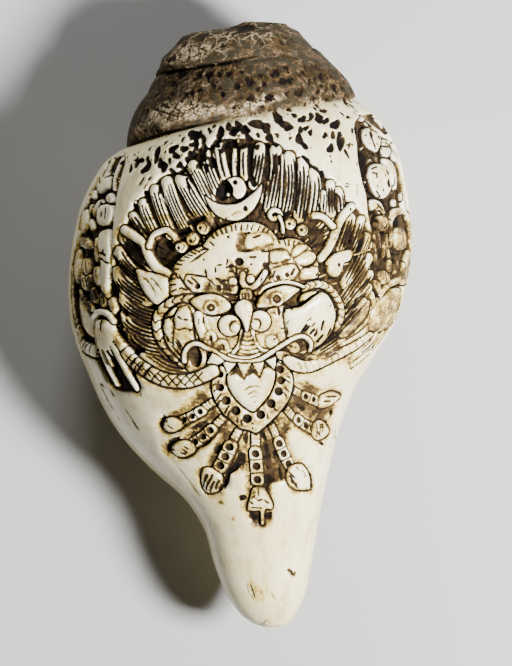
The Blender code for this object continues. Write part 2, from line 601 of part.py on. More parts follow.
def carve_right_figures(drawing):
    for points in (
        [(363, 131), (371, 129), (379, 137), (380, 148), (374, 153), (365, 144)],
        [(371, 165), (380, 164), (388, 170), (390, 183), (386, 196), (379, 198), (371, 189), (368, 175)],
        [(371, 201), (380, 205), (387, 219), (387, 230), (379, 228), (372, 214)],
        [(394, 230), (401, 226), (405, 237), (404, 249), (396, 251)],
        [(383, 148), (391, 152), (397, 172), (398, 195), (392, 190), (386, 165)],
        [(377, 240), (386, 240), (391, 257), (386, 275), (379, 262)],
        [(393, 257), (401, 260), (402, 275), (394, 276)], [(373, 282), (381, 280), (382, 292), (377, 297)],
        [(392, 209), (401, 208), (402, 220), (394, 222)],
    ):  # fmt: skip
        drawing.shape(outline(points), (-0.8, 1.0, 5), (2.5, 0.7))
    drawing.rope(line([(401, 282), (392, 288), (381, 300)]), 8, (-0.4, 0.9), (2.5, 0.7))


def scroll(centre, radius, hand, turns=1.4, steps=22):
    """A spiral line from its rim to its middle."""
    t = np.linspace(0, 1, steps)
    angle = hand * (2 * np.pi * turns * t) + (0 if hand > 0 else np.pi)
    reach = radius * (1 - 0.8 * t)
    return np.stack([centre[0] + reach * np.cos(angle), centre[1] + reach * np.sin(angle)], -1)


def carve_sides(drawing):
    """Cloud scrolls that carry the carving round both sides, out of the drawing's sight."""
    for side, start, end in ((-1, 86, 122), (1, 84, 128)):
        for row, v in enumerate(range(212, 350, 34)):
            roll = float(front_radius(np.array([v], float))[0])
            for column, angle in enumerate((start + 12, start + 31)):
                if angle > end:
                    continue
                centre = (side * math.radians(angle) * roll, v + 17 * (column % 2))
                drawing.sink(scroll(centre, 15, 1, 0.95, 14), -1.2, 4.0)
                hand = side if (row + column) % 2 else -side
                drawing.rope(scroll(centre, 11.5, hand), 5.5, (-0.9, 0.9))


def carve_pits(drawing):
    for x, v, wide, high in PITS:
        angle = np.linspace(0, 2 * np.pi, 12, endpoint=False)
        ring = np.stack([x + wide * np.cos(angle), v + high * np.sin(angle)], -1)
        window, a, row = drawing.window(rolled(ring), 3)
        amount = smoothstep(signed_distance(rolled(ring), a, row) / 2.4 + 0.5)
        drawing.height[window] -= 1.9 * amount


def softened(height, times=2):
    """The carving with its narrowest lines eased, as wide as the mesh can follow."""
    for _ in range(times):
        height = sum(np.roll(height, i, 0) for i in (-1, 0, 1)) / 3
        height = sum(np.roll(height, i, 1) for i in (-1, 0, 1)) / 3
    return height


def carved_drawing(step):
    drawing = Drawing(step)
    for carve in (
        carve_grounds, carve_sides, carve_hair, carve_head, carve_mouth, carve_tassels, carve_sky,
        carve_left_figures, carve_right_figures, carve_pits,
    ):  # fmt: skip
        carve(drawing)
    drawing.height = softened(drawing.height)
    return drawing


def mesh_object(name, points, faces):
    mesh = bpy.data.meshes.new(name)
    mesh.from_pydata((points * MM).tolist(), [], faces.tolist())
    mesh.validate()
    thing = bpy.data.objects.new(name, mesh)
    bpy.context.scene.collection.objects.link(thing)
    return thing


def welded(points, faces):
    """The mesh with points that share a place made one, and the faces that collapse left out."""
    _, first, index = np.unique(np.round(points / 1e-4), axis=0, return_index=True, return_inverse=True)
    faces = index.reshape(-1)[faces]
    kept = (faces[:, 0] != faces[:, 1]) & (faces[:, 1] != faces[:, 2]) & (faces[:, 0] != faces[:, 2])
    return points[first], faces[kept]


def carved_shell():
    skin = Skin(carved_drawing(1.0))
    return mesh_object("conch_shell", *welded(*triangulate(skin, MOST_TRIANGLES)))


# The mouth, from where it leaves the skin (-236) round to the hollow's end, out of sight.
MOUTH_TURNS = (
    -236, -226, -216, -204, -192, -180, -168, -158, -150, -143, -136, -128, -118, -106, -94, -82, -72,
    -66,
)
MOUTH_ROWS = 17
CORE = 2.4  # least radius of solid left at the canal's tip
mouth_end = curve((-236, 640), (-150, 640), (-143, 603), (-134, 566), (-118, 515), (-90, 460), (-60, 425))
canal = curve((0, 1), (430, 1), (490, 0.62), (540, 0.32), (650, 0.3))
wall = curve((-150, WALL), (-120, WALL + 0.4), (-60, 8.0), (0, 8.0))
lift = curve((-236, 3.2), (-222, 1.4), (-205, -0.5), (-190, -0.9), (0, -0.9))
COLUMELLA_FOLDS = (326, 348, 370)


def mouth_cutter():
    """The hollow of the mouth and of the whorl behind it, as one closed body."""
    rings = []
    s = (1 - np.cos(np.pi * (np.arange(MOUTH_ROWS) + 0.35) / (MOUTH_ROWS - 0.3))) / 2
    shrink = dict(zip(MOUTH_TURNS[-2:], (0.75, 0.35)))
    for turn in MOUTH_TURNS:
        top = suture(turn) + 15
        bottom = mouth_end(turn)
        size = shrink.get(turn, 1)
        v = (top + bottom) / 2 + (s - 0.5) * (bottom - top) * (0.6 + 0.4 * size)
        angle = -165 + (turn + 165) * canal(v)
        thin = 1 - 0.45 * smoothstep((v - 420) / 120)
        outer = whorl(angle, v) * SQUARE + (14 if turn < LIP_ANGLE - 4 else -wall(turn) * thin)
        inner = whorl(angle + 360, v) * SQUARE + lift(turn)
        for fold in COLUMELLA_FOLDS:
            inner = inner + 1.3 * np.exp(-(((v - fold) / 6) ** 2)) * (-190 < turn < -50)
        inner = np.minimum(np.maximum(inner, CORE), outer - 0.8)
        half = (outer - inner) / 2 * size * np.sqrt(1 - (2 * s - 1) ** 8)
        middle = (outer + inner) / 2
        loop = [(angle, v, middle + half), (angle[::-1], v[::-1], (middle - half)[::-1])]
        angle, v, radius = (np.concatenate(c) for c in zip(*loop))
        turned = np.radians(angle)
        x = (axis_x(v) - MIDDLE_X) * SQUARE + radius * np.sin(turned)
        z = axis_height(v) + FLATNESS * radius * np.cos(turned)
        rings.append(np.stack([x, (MIDDLE_V - v) * SQUARE, z], -1))
    count = len(rings[0])
    points = np.vstack(rings)
    faces = []
    for i in range(count):
        j = (i + 1) % count
        for ring in range(len(rings) - 1):
            a, b = ring * count, ring * count + count
            if np.linalg.norm(points[a + i] - points[b + j]) < np.linalg.norm(points[b + i] - points[a + j]):
                faces += [(a + i, b + i, b + j), (a + i, b + j, a + j)]
            else:
                faces += [(a + i, b + i, a + j), (a + j, b + i, b + j)]
    last = len(points) - count
    for i in range(MOUTH_ROWS - 1):
        across, next_across = count - 1 - i, count - 2 - i
        faces += [(i, i + 1, across), (i + 1, next_across, across)]
        faces += [(last + i, last + across, last + i + 1), (last + i + 1, last + across, last + next_across)]
    faces = np.array(faces)
    if np.linalg.det(points[faces]).sum() < 0:
        faces = faces[:, ::-1]
    cutter = mesh_object("mouth_cutter", points, faces)
    cutter.hide_render = True
    cutter.display_type = "WIRE"
    return cutter


def ivory_shell():
    material = bpy.data.materials.new("shell_ivory")
    material.use_nodes = True
    shader = material.node_tree.nodes["Principled BSDF"]
    shader.inputs["Base Color"].default_value = (0.72, 0.66, 0.52, 1)
    shader.inputs["Roughness"].default_value = 0.32
    shader.inputs["Metallic"].default_value = 0.0
    return material


for old in list(bpy.data.objects):
    bpy.data.objects.remove(old)
shell = carved_shell()
hollow = shell.modifiers.new("mouth", "BOOLEAN")
hollow.operation = "DIFFERENCE"
hollow.solver = "EXACT"
hollow.object = mouth_cutter()
shell.data.materials.append(ivory_shell())
shell.data.shade_smooth()
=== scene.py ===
# %% [markdown]
# # A carved chank shell
# The real thing is a thick sea shell that turns to the right. Its back carries a deep carving: a
# fierce winged head that holds a snake, with flames of hair, a moon above it and hung ornaments
# below. It lies on its mouth, so the camera looks straight down on the carving. All of it is one
# piece of shell, so here it is one mesh, made from a formula and a drawing of heights.

# %% Load the imported model, and bake each part's placement into its points
import math

import bpy
import numpy as np
from mathutils.geometry import delaunay_2d_cdt
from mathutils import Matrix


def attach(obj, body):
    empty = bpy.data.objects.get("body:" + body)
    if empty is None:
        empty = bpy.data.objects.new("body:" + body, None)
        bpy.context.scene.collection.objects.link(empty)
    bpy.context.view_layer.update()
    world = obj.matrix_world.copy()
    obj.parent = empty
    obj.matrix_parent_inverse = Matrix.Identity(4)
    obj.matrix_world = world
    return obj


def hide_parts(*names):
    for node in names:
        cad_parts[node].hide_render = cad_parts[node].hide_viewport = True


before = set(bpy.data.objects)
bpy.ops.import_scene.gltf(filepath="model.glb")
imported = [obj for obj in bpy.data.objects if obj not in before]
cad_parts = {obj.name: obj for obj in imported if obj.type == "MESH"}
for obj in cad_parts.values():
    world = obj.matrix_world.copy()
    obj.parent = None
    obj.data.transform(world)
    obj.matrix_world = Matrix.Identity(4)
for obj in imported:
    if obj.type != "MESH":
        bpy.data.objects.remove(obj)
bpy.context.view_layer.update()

# %% [markdown]
# ## The bare shell
# A sea shell grows by turning round an axis while every part of it gets bigger by the same share,
# so one rule of growth gives all its whorls. The outline from above fixes the widths of the last
# whorl on the left and on the right, and the rule carries them round and back towards the spire.
# Lengths on the drawing are in squares, 180 mm over the shell's 606.5 of them.

# %% Sizes
MM = 0.001
LENGTH = 180.0
APEX_V = 21.5
TIP_V = 628.0
SQUARE = LENGTH / (TIP_V - APEX_V)
MIDDLE_X = 239.5
MIDDLE_V = (APEX_V + TIP_V) / 2
FLATNESS = 0.93
AXIS_HEIGHT = 37.5
CANAL_DROP = 7.0
LIP_ANGLE = -140.0
MOUTH_END_ANGLE = -222.0
WALL = 5.6
print("one square is", round(SQUARE, 4), "mm")


# %% Smooth functions through a few points
def curve(*points):
    """A smooth function through points (x, y), level beyond its ends."""
    x, y = np.array(points, float).T
    slope = np.gradient(y, x)

    def at(value):
        value = np.clip(value, x[0], x[-1])
        i = np.clip(np.searchsorted(x, value, side="right") - 1, 0, len(x) - 2)
        span = x[i + 1] - x[i]
        t = (value - x[i]) / span
        rise = y[i + 1] - y[i]
        bow = span * (slope[i] * (1 - t) - slope[i + 1] * t)
        return y[i] + t * (bow * (1 - t) + rise * t * (3 - 2 * t))

    return at


def smoothstep(t):
    t = np.clip(t, 0, 1)
    return t * t * (3 - 2 * t)


print("a smooth step has reached", smoothstep(0.25), "after a quarter of its way")


# %% Outline, seams and wear
left_edge = curve(
    (150, 131), (160, 146), (178, 160), (200, 172.5), (230, 182), (260, 188), (290, 191),
    (320, 190), (345, 184.5), (370, 175), (400, 162.5), (437, 141), (470, 113), (497, 85),
    (525, 68), (570, 56), (600, 44), (613, 35), (621, 26), (626, 15), (627.6, 6), (628, 0),
)
right_edge = curve(
    (98, 104.5), (115, 123.5), (140, 140), (180, 150.5), (220, 154.5), (240, 154.5),
    (268, 151), (300, 142), (330, 128.5), (360, 107.5), (390, 88), (420, 74.8), (460, 63),
    (500, 52.9), (540, 44), (580, 35.3), (600, 29.3), (615, 21), (623, 14), (626.6, 8), (628, 0),
)
suture = curve(
    (-240, 207), (-180, 187), (-150, 174), (-90, 150), (-60, 143), (-30, 130), (0, 118.5),
    (30, 108), (60, 103), (90, 98), (180, 87), (270, 76), (360, 61), (450, 49), (540, 40),
    (630, 33), (720, 27), (810, 23), (900, 21.6), (1300, 21.5),
)
spire_width = curve((200, 1), (270, 1.02), (450, 1.055), (630, 1.2), (810, 1.1), (1000, 1))
worn_left = curve((21.5, 0), (24.5, 8), (27, 17), (29, 27), (30, 38), (31.5, 49), (35, 61), (44, 84))
worn_right = curve((21.5, 0), (21.9, 15), (22.8, 30), (26, 40), (30, 48), (44, 84))
left_slope = curve((54, 85), (60, 87.5), (66, 89), (72, 92.5), (78, 96.5), (86, 100.5), (96, 105))
print("curves of the outline, the seams and the worn top are ready")


def axis_x(v):
    return 249.0 + 26.0 * (np.asarray(v) - 60.0) / 568.0


def axis_height(v):
    return AXIS_HEIGHT - CANAL_DROP * smoothstep((np.asarray(v) - 360.0) / 300.0)


# %% The rule of growth
def whorl(turn, v):
    """Radius in squares of the whorl at this angle, the turns counted backwards from the mouth."""
    top = suture(turn)
    down = np.clip((v - top) / (TIP_V - top), 0, 1)
    left = left_edge(150 + down * (TIP_V - 150))
    right = right_edge(98 + down * (TIP_V - 98))
    weight = np.clip((90 - turn) / 180, -6.5, 1.12)
    ratio = np.maximum(left, 1e-3) / np.maximum(right, 1e-3)
    return right * np.minimum(ratio, 1.9) ** weight * spire_width(turn)


def shell_radius(angle, v):
    """Radius in squares of the closed shell, with its mouth skinned over."""
    radius = whorl(angle + 1080, v)
    for turns in (720, 360, 0):
        turn = angle + turns
        radius = np.where(v >= suture(turn), whorl(turn, v), radius)
    for turn in (angle, angle - 360):
        closing = smoothstep((LIP_ANGLE - turn) / (LIP_ANGLE - MOUTH_END_ANGLE))
        in_mouth = (turn < LIP_ANGLE) & (turn > MOUTH_END_ANGLE) & (v >= suture(turn))
        over = whorl(turn, v) * (1 - closing) + whorl(turn + 360, v) * closing
        radius = np.where(in_mouth, over, radius)
    before = np.where(angle - 360 > MOUTH_END_ANGLE, suture(angle - 360), 1e9)
    seams = (before, suture(angle), suture(angle + 360), suture(angle + 720))
    seam = np.min([np.abs(v - row) for row in seams], 0)
    radius = radius - 2.6 * np.exp(-((seam / 2.0) ** 2)) * smoothstep((v - 32) / 14)
    side = (1 - np.sin(np.radians(angle))) / 2
    filled = 0.85 * side**5 * smoothstep((v - 54) / 8) * smoothstep((96 - v) / 8)
    radius = radius + (left_slope(v) - 1.6 * np.exp(-((seam / 2.0) ** 2)) - radius) * filled
    worn = worn_left(v) * side + worn_right(v) * (1 - side)
    return np.where(v < 44, np.minimum(radius, worn), radius) * (v < TIP_V)


def front_radius(v):
    """Radius that the drawing is rolled round at each v."""
    return np.maximum(shell_radius(np.zeros_like(v), v), 12.0)


def surface(angle, v, radius, height):
    """Points in mm at these angles and v, raised by height, and flat where they meet the table."""
    turned = np.radians(angle)
    reach = np.maximum(radius * SQUARE + height, 0) * (v > APEX_V) * (v < TIP_V)
    x = (axis_x(v) - MIDDLE_X) * SQUARE + reach * np.sin(turned)
    z = axis_height(v) + FLATNESS * reach * np.cos(turned)
    return np.stack([x, (MIDDLE_V - v) * SQUARE + 0 * x, np.maximum(z, 0)], -1)


widest = shell_radius(np.array([-90.0, 90.0]), np.array([290.0, 240.0])) * SQUARE
print("the shell reaches", widest.round(1), "mm left and right of its axis")

# %% [markdown]
# ## A drawing of heights
# On the left figures and on the right bulge these two layers also carry painted shade.
# The carver cut into a smooth shell, so the carving is a height over that smooth skin. The skin is
# rolled out flat into a drawing, a across and v down, and every chisel stroke changes the heights
# in one small window of it. Two more layers go with the heights: soot is the near-black dirt in
# the deepest cuts, and amber is the yellow-brown stain of lamp oil in the sunk grounds.
#
# Every line and outline of the carving is a list of x, v, x, v and so on, in squares, as the eye
# sees it from above. The functions below round it off and roll it out.

# %% Distances on the drawing
def line_distance(points, a, v, half):
    """Nearest place on a line: distance, half width there, distance along it, and side offset."""
    best, width = np.full(a.shape, 1e9), np.zeros(a.shape)
    along, side = np.zeros(a.shape), np.zeros(a.shape)
    start = 0.0
    for (x0, y0), (x1, y1), w0, w1 in zip(points, points[1:], half, half[1:]):
        dx, dy = x1 - x0, y1 - y0
        length = math.hypot(dx, dy) or 1e-6
        t = np.clip(((a - x0) * dx + (v - y0) * dy) / length**2, 0, 1)
        distance = np.hypot(a - x0 - t * dx, v - y0 - t * dy)
        nearer = distance < best
        best = np.where(nearer, distance, best)
        width = np.where(nearer, w0 + (w1 - w0) * t, width)
        along = np.where(nearer, start + t * length, along)
        side = np.where(nearer, ((v - y0) * dx - (a - x0) * dy) / length, side)
        start += length
    return best, width, along, side


def signed_distance(points, a, v):
    """Distance to a closed outline, positive inside it."""
    ring = np.vstack([points, points[:1]])
    distance = line_distance(ring, a, v, np.zeros(len(ring)))[0]
    inside = np.zeros(a.shape, bool)
    for (x0, y0), (x1, y1) in zip(ring, ring[1:]):
        crosses = (y0 > v) != (y1 > v)
        inside ^= crosses & (a < x0 + (v - y0) * (x1 - x0) / (y1 - y0 + (y1 == y0)))
    return np.where(inside, distance, -distance)


tile = np.array([[0.0, 0], [2, 0], [2, 2], [0, 2]])
print("the middle of a tile two wide lies", signed_distance(tile, np.ones(1), np.ones(1))[0], "inside it")


# %% From the view above to the rolled-out skin
def pairs(points):
    """Points one to a row, from a plain list of x, v, x, v and so on, or from pairs."""
    return np.array(points, float).reshape(-1, 2)


def rolled(points):
    """Points seen from above (x, v), as places on the rolled-out skin (a, v)."""
    x, v = pairs(points).T
    roll = front_radius(v)
    angle = np.arcsin(np.clip((x - axis_x(v)) / roll, -0.98, 0.98))
    for _ in range(5):
        radius = shell_radius(np.degrees(angle), v)
        angle = np.arcsin(np.clip((x - axis_x(v)) / radius, -0.99, 0.99))
    return np.stack([angle * roll, v], -1)


def bent(points, closed=False):
    """A smooth line through given points, with three more between each two of them."""
    p = pairs(points)
    before, after, beyond = np.roll(p, 1, 0), np.roll(p, -1, 0), np.roll(p, -2, 0)
    if not closed:
        before[0], after[-1], beyond[-1], beyond[-2] = p[0], p[-1], p[-1], p[-1]
    t = (np.arange(4) / 4)[None, :, None]
    b, p0, p1, n = (q[:, None] for q in (before, p, after, beyond))
    made = p0 + 0.5 * t * (p1 - b + t * (2 * b - 5 * p0 + 4 * p1 - n + t * (3 * p0 - b - 3 * p1 + n)))
    if closed:
        return pairs(made)
    return np.vstack([pairs(made[:-1]), p[-1:]])


def outline(points):
    return rolled(bent(points, closed=True))


def line(points):
    points = pairs(points)
    return rolled(bent(points) if len(points) > 2 else points)


def spot(x, v):
    return rolled([x, v])[0]


print("the middle of the picture lies at", spot(256, 333).round(1), "on the rolled-out skin")


# %% The chisel: strokes that change the drawing
EDGE_STAIN = 0.75
HALF_ACROSS = 470
FIRST_ROW, LAST_ROW = 15, 635


class Drawing:
    """Heights in mm over the smooth skin, with the soot and the amber stain that lie on it."""

    def __init__(self, step):
        self.step = step
        self.a = np.arange(-HALF_ACROSS, HALF_ACROSS + step, step)
        self.v = np.arange(FIRST_ROW, LAST_ROW + step, step)
        self.height = np.zeros((len(self.v), len(self.a)))
        self.soot = np.zeros_like(self.height)
        self.amber = np.zeros_like(self.height)

    def window(self, points, margin):
        low, high = points.min(0) - margin, points.max(0) + margin
        columns = slice(*np.searchsorted(self.a, (low[0], high[0])))
        rows = slice(*np.searchsorted(self.v, (low[1], high[1])))
        return (rows, columns), *np.meshgrid(self.a[columns], self.v[rows])

    def lay(self, window, amount, height=None, soot=None, amber=None):
        """Mixes new values into a window of the layers, by an amount at each place."""
        for layer, value in ((self.height, height), (self.soot, soot), (self.amber, amber)):
            if value is not None:
                layer[window] = layer[window] * (1 - amount) + value * amount

    def ground(self, points, level, edge, soot, amber):
        """Sinks the field inside an outline to a level."""
        window, a, v = self.window(points, edge)
        self.lay(window, smoothstep(signed_distance(points, a, v) / edge + 0.5), level, soot, amber)

    def moat(self, window, depth, wide, drop, soot):
        """Cuts a narrow ditch just outside an edge, and stains it. depth is the distance inside it."""
        ditch = smoothstep(np.clip(1 + depth / wide, 0, 1) * 1.7) * (depth < 0)
        self.height[window] -= drop * ditch
        self.soot[window] = np.maximum(self.soot[window], soot * ditch)
        halo = smoothstep(1 + depth / (2.4 * wide + 1.5)) * (depth < 0)
        self.amber[window] = np.maximum(self.amber[window], halo)

    def form(self, points, level, crown, rim, moat=(2.2, 0.8), soot=0.8, stain=0.0):
        """A raised shape with rounded edges and a ditch round it."""
        window, a, v = self.window(points, 6.0)
        depth = signed_distance(points, a, v)
        self.moat(window, depth, *moat, soot)
        swell = np.sqrt(1 - (1 - np.clip(depth / rim, 0, 1)) ** 2)
        edge_stain = stain + (EDGE_STAIN - stain) * (1 - smoothstep(depth / (0.6 * rim)))
        self.lay(window, smoothstep(depth / 0.8 + 0.5), level + crown * swell, 0.0, edge_stain)

    def rope(self, points, width, level, crown, moat, soot=0.8, ribs=None):
        """A round-backed band along a line. ribs is (period, slant, depth) of the cuts across it."""
        width = np.broadcast_to(np.asarray(width, float), len(points))
        window, a, v = self.window(points, width.max() / 2 + 5)
        distance, half, along, side = line_distance(points, a, v, width / 2)
        depth = half - distance
        self.moat(window, depth, *moat, soot)
        back = np.sqrt(np.clip(1 - (distance / np.maximum(half, 0.1)) ** 2, 0, 1))
        height, dark = level + crown * back, 0.0
        if ribs:
            period, slant, cut = ribs
            groove = np.maximum(0, np.cos(2 * np.pi * (along + slant * np.abs(side)) / period)) ** 4
            height, dark = height - cut * groove, 0.85 * groove
        stain = EDGE_STAIN * (1 - smoothstep(1.6 * back)) + 0.6 * np.asarray(dark)
        self.lay(window, smoothstep(depth / 0.8 + 0.5), height, dark, np.minimum(stain, 1))

    def lock(self, points, width, grooves, seed, wide):
        """A lock of hair with a blunt tip, and black grooves that run up it from its root."""
        self.rope(points, width, -0.75, 0.75, (2.0, 0.5))
        chance = np.random.default_rng(seed)
        along = np.gradient(points, axis=0)
        across = np.stack([-along[:, 1], along[:, 0]], -1) / np.hypot(*along.T)[:, None]
        for i in range(grooves):
            offset = ((i + 0.5) / grooves - 0.5) * width * 0.9
            first = int(len(points) * chance.uniform(0.0, 0.14))
            last = max(first + 3, int(len(points) * chance.uniform(0.8, 1.0)))
            path = points[first:last] + across[first:last] * offset
            self.cut(path, wide * chance.uniform(2.2, 3.0), 0.9, 1.05, 0.45)

    def cut(self, points, width=1.6, depth=0.6, soot=0.9, taper=0.8):
        """An incised line with pointed ends."""
        t = np.linspace(-1, 1, len(points)) if len(points) > 2 else np.array([-0.35, 0.35])
        half = width / 2 * (1 - taper * np.abs(t) ** 3)
        window, a, v = self.window(points, width + 1)
        distance, half, *_ = line_distance(points, a, v, half)
        groove = smoothstep(1.15 - 0.75 * distance / np.maximum(half, 0.2))
        self.height[window] -= depth * groove
        self.soot[window] = np.maximum(self.soot[window], soot * groove)
        self.amber[window] = np.maximum(self.amber[window], 0.7 * groove)

    def hole(self, centre, radius, level, soot, rim):
        """A drilled pit with a stained rim."""
        window, a, v = self.window(centre[None], radius + 3)
        distance = np.hypot(a - centre[0], v - centre[1])
        amount = smoothstep(radius - distance + 0.5)
        h = self.height[window]
        self.height[window] = np.minimum(h, h * (1 - amount) + level * amount)
        floor = 0.68 + 0.32 * smoothstep((distance - 0.45 * radius) / (0.5 * radius))
        self.soot[window] = np.maximum(self.soot[window] * (1 - amount), soot * amount * floor)
        halo = smoothstep((radius + 1.6 - distance) / 1.6)
        self.amber[window] = np.maximum(self.amber[window], rim * halo)

    def pit(self, centre, wide, high, tilt=0.0, depth=1.0, soot=1.0, seed=1, rough=0.16):
        """A hole of a boring sponge or of dead coral: an uneven oval with a ragged rim."""
        x, y = centre
        window, a, v = self.window(pairs(centre), max(wide, high) + 4)
        turn = math.radians(tilt)
        p = (a - x) * math.cos(turn) + (v - y) * math.sin(turn)
        q = (v - y) * math.cos(turn) - (a - x) * math.sin(turn)
        around = np.arctan2(q / high, p / wide)
        ragged = 1 + rough * (0.7 * np.sin(2 * around + seed) + 0.5 * np.sin(3 * around + 2.3 * seed))
        inside = (ragged - np.hypot(p / wide, q / high)) * min(wide, high)
        amount = smoothstep(inside / 1.1 + 0.5)
        self.height[window] -= depth * amount
        self.soot[window] = np.maximum(self.soot[window], soot * smoothstep(inside / 0.9 + 0.4))
        self.amber[window] = np.maximum(self.amber[window], 0.6 * smoothstep((inside + 1.5) / 1.5))

    def read(self, layer, a, v):
        """A layer's value at these places, read between the drawing's points."""
        column = np.clip((a - self.a[0]) / self.step, 0, len(self.a) - 1)
        row = np.clip((v - self.v[0]) / self.step, 0, len(self.v) - 1)
        i = np.minimum(row.astype(int), len(self.v) - 2)
        j = np.minimum(column.astype(int), len(self.a) - 2)
        y, x = row - i, column - j
        upper = layer[i, j] * (1 - x) + layer[i, j + 1] * x
        return upper * (1 - y) + (layer[i + 1, j] * (1 - x) + layer[i + 1, j + 1] * x) * y


drawing = Drawing(0.5)
print("the drawing has", drawing.height.shape, "places,", drawing.step, "square apart")


# %% Short names for the strokes used most
def ground(points, level, edge, soot):
    """A sunk field with a smooth outline, stained amber all over."""
    drawing.ground(outline(points), level, edge, soot, 1.0)


def field(points, level, edge, soot, amber=1.0):
    """A sunk field with straight sides."""
    drawing.ground(rolled(points), level, edge, soot, amber)


def form(points, **shape):
    drawing.form(outline(points), **shape)


def forms(outlines, **shape):
    for points in outlines:
        form(points, **shape)


def rope(points, width, *shape, **ribs):
    drawing.rope(line(points), width, *shape, **ribs)


def boss(x, v, width, level, crown, moat, soot):
    """A round bead."""
    centre = spot(x, v)
    drawing.rope(np.array([centre, centre + (0.1, 0)]), width, level, crown, moat, soot)


def cuts(paths, width=1.6, depth=0.6, soot=0.9):
    for path in paths:
        drawing.cut(line(path), width, depth, soot)


def drill(x, v, radius, level, soot=1.0, rim=0.35):
    drawing.hole(spot(x, v), radius, level, soot, rim)


def pit(x, v, *size, **wear):
    drawing.pit(spot(x, v), *size, **wear)


def wash(points, amber, soot=0.0, edge=6.0):
    """Stain over a whole area, which changes no height. On the left figures and on the right bulge it also
    paints shade.
    """
    corners = rolled(points)
    window, a, v = drawing.window(corners, edge)
    amount = smoothstep(signed_distance(corners, a, v) / edge + 0.5)
    drawing.amber[window] = np.maximum(drawing.amber[window], amber * amount)
    drawing.soot[window] = np.maximum(drawing.soot[window], soot * amount)


print("the strokes have their short names")


# %% Hair, hollows and spirals

def strands(count, low, high, length, centre, seed):
    """Fine hair on sunk ground only: black strokes and thin light ones that point away from a centre."""
    chance = np.random.default_rng(seed)
    starts = chance.uniform(low, high, (count, 2))
    away = starts - centre
    away = away / np.hypot(*away.T)[:, None] + chance.normal(0, 0.12, (count, 2))
    tips = starts + away * chance.uniform(*length, (count, 1))
    places, ends = rolled(starts), rolled(tips)
    checked = (places, (places + ends) / 2, ends)
    sunk_there = np.max([drawing.read(drawing.height, *q.T) for q in checked], 0) < -1.25
    for number, (place, end) in enumerate(zip(places[sunk_there], ends[sunk_there])):
        path = np.linspace(place, end, 5)
        if number % 5 < 3:
            drawing.cut(path, chance.uniform(1.2, 2.2), 0.4, 1.0, 0.5)
        else:
            drawing.rope(path, 1.7, -1.5, 0.6, (1.0, 0.15), 0.9)
    return int(sunk_there.sum())


def scoop(points, width, level=-1.1, edge=8.0, soot=0.16, amber=1.0):
    """A soft hollow along a line, which never raises what is already lower."""
    path = line(points)
    window, a, v = drawing.window(path, width / 2 + edge)
    distance = line_distance(path, a, v, np.full(len(path), width / 2))[0]
    amount = smoothstep((width / 2 - distance) / edge + 0.5)
    h = drawing.height[window]
    drawing.height[window] = np.minimum(h, h * (1 - amount) + level * amount)
    drawing.soot[window] = np.maximum(drawing.soot[window] * (1 - amount), soot * amount)
    drawing.amber[window] = np.maximum(drawing.amber[window], amber * smoothstep(amount * 1.2))


def spiral(x, v, radius, start, turns, tighten):
    """A spiral line from its rim inwards, start and turns in degrees, turning right if positive."""
    t = np.linspace(0, 1, 26)
    angle = np.radians(start + turns * t)
    reach = radius * (1 - tighten * t)
    return rolled(np.stack([x + reach * np.cos(angle), v + reach * np.sin(angle)], -1))


print("a spiral has", len(spiral(256, 333, 10, 0, 360, 0.5)), "points")


# %% [markdown]
# ## Sunk grounds
# The carver first takes the ground down inside a few outlines, and what stays higher becomes the
# figures. The flames of hair lie in a pointed oval. The side figures and the ornaments below lie
# in shallower ground, which old lamp oil and handling have stained amber.

# %% The grounds
HAIR_GROUND = [
    150, 352, 136, 345, 128, 333, 121, 318, 117, 303, 114, 290, 113, 275, 115, 258, 118, 243, 122, 232,
    127, 222, 131, 212, 138, 203, 146, 193, 153, 186, 160, 179, 168, 175, 176, 174, 184, 168, 190, 160,
    198, 152, 208, 149, 216, 145, 226, 141, 240, 140, 256, 141, 268, 145, 278, 146, 286, 151, 294, 157,
    303, 160, 311, 165, 319, 171, 327, 179, 334, 184, 341, 192, 347, 201, 355, 206, 362, 216, 367, 228,
    370, 242, 372, 258, 372, 275, 373, 290, 368, 303, 362, 315, 353, 327, 342, 337, 330, 347, 318, 353,
    306, 358, 290, 372, 255, 380, 215, 374, 190, 370, 170, 363,
]
LEFT_GROUND = [
    125, 158, 121, 178, 117, 195, 115, 212, 113, 228, 112, 250, 112, 270, 114, 290, 118, 305, 121, 322,
    127, 340, 140, 352, 133, 368, 141, 388, 128, 392, 112, 388, 103, 374, 97, 362, 84, 354, 73, 338,
    69, 318, 67, 290, 70, 262, 75, 232, 83, 202, 92, 180, 108, 162,
]
RIGHT_GROUND = [
    355, 125, 364, 116, 380, 116, 392, 130, 400, 150, 404, 168, 405, 190, 409, 220, 411, 250, 406, 280,
    397, 290, 386, 300, 379, 303, 373, 290, 372, 262, 372, 238, 368, 215, 366, 196, 362, 182, 358, 160,
    357, 145,
]
ground(HAIR_GROUND, -1.7, 2.0, soot=0.5)
ground(LEFT_GROUND, -1.6, 3.0, soot=0.5)
ground(RIGHT_GROUND, -1.6, 3.0, soot=0.46)
print("deepest ground", drawing.height.min(), "mm")

# %% [markdown]
# ## Flames of hair
# The hair is a ring of thick locks that lie side by side, each with a blunt polished tip and a few
# black grooves that run up it from its root. Gaps between them are almost black.

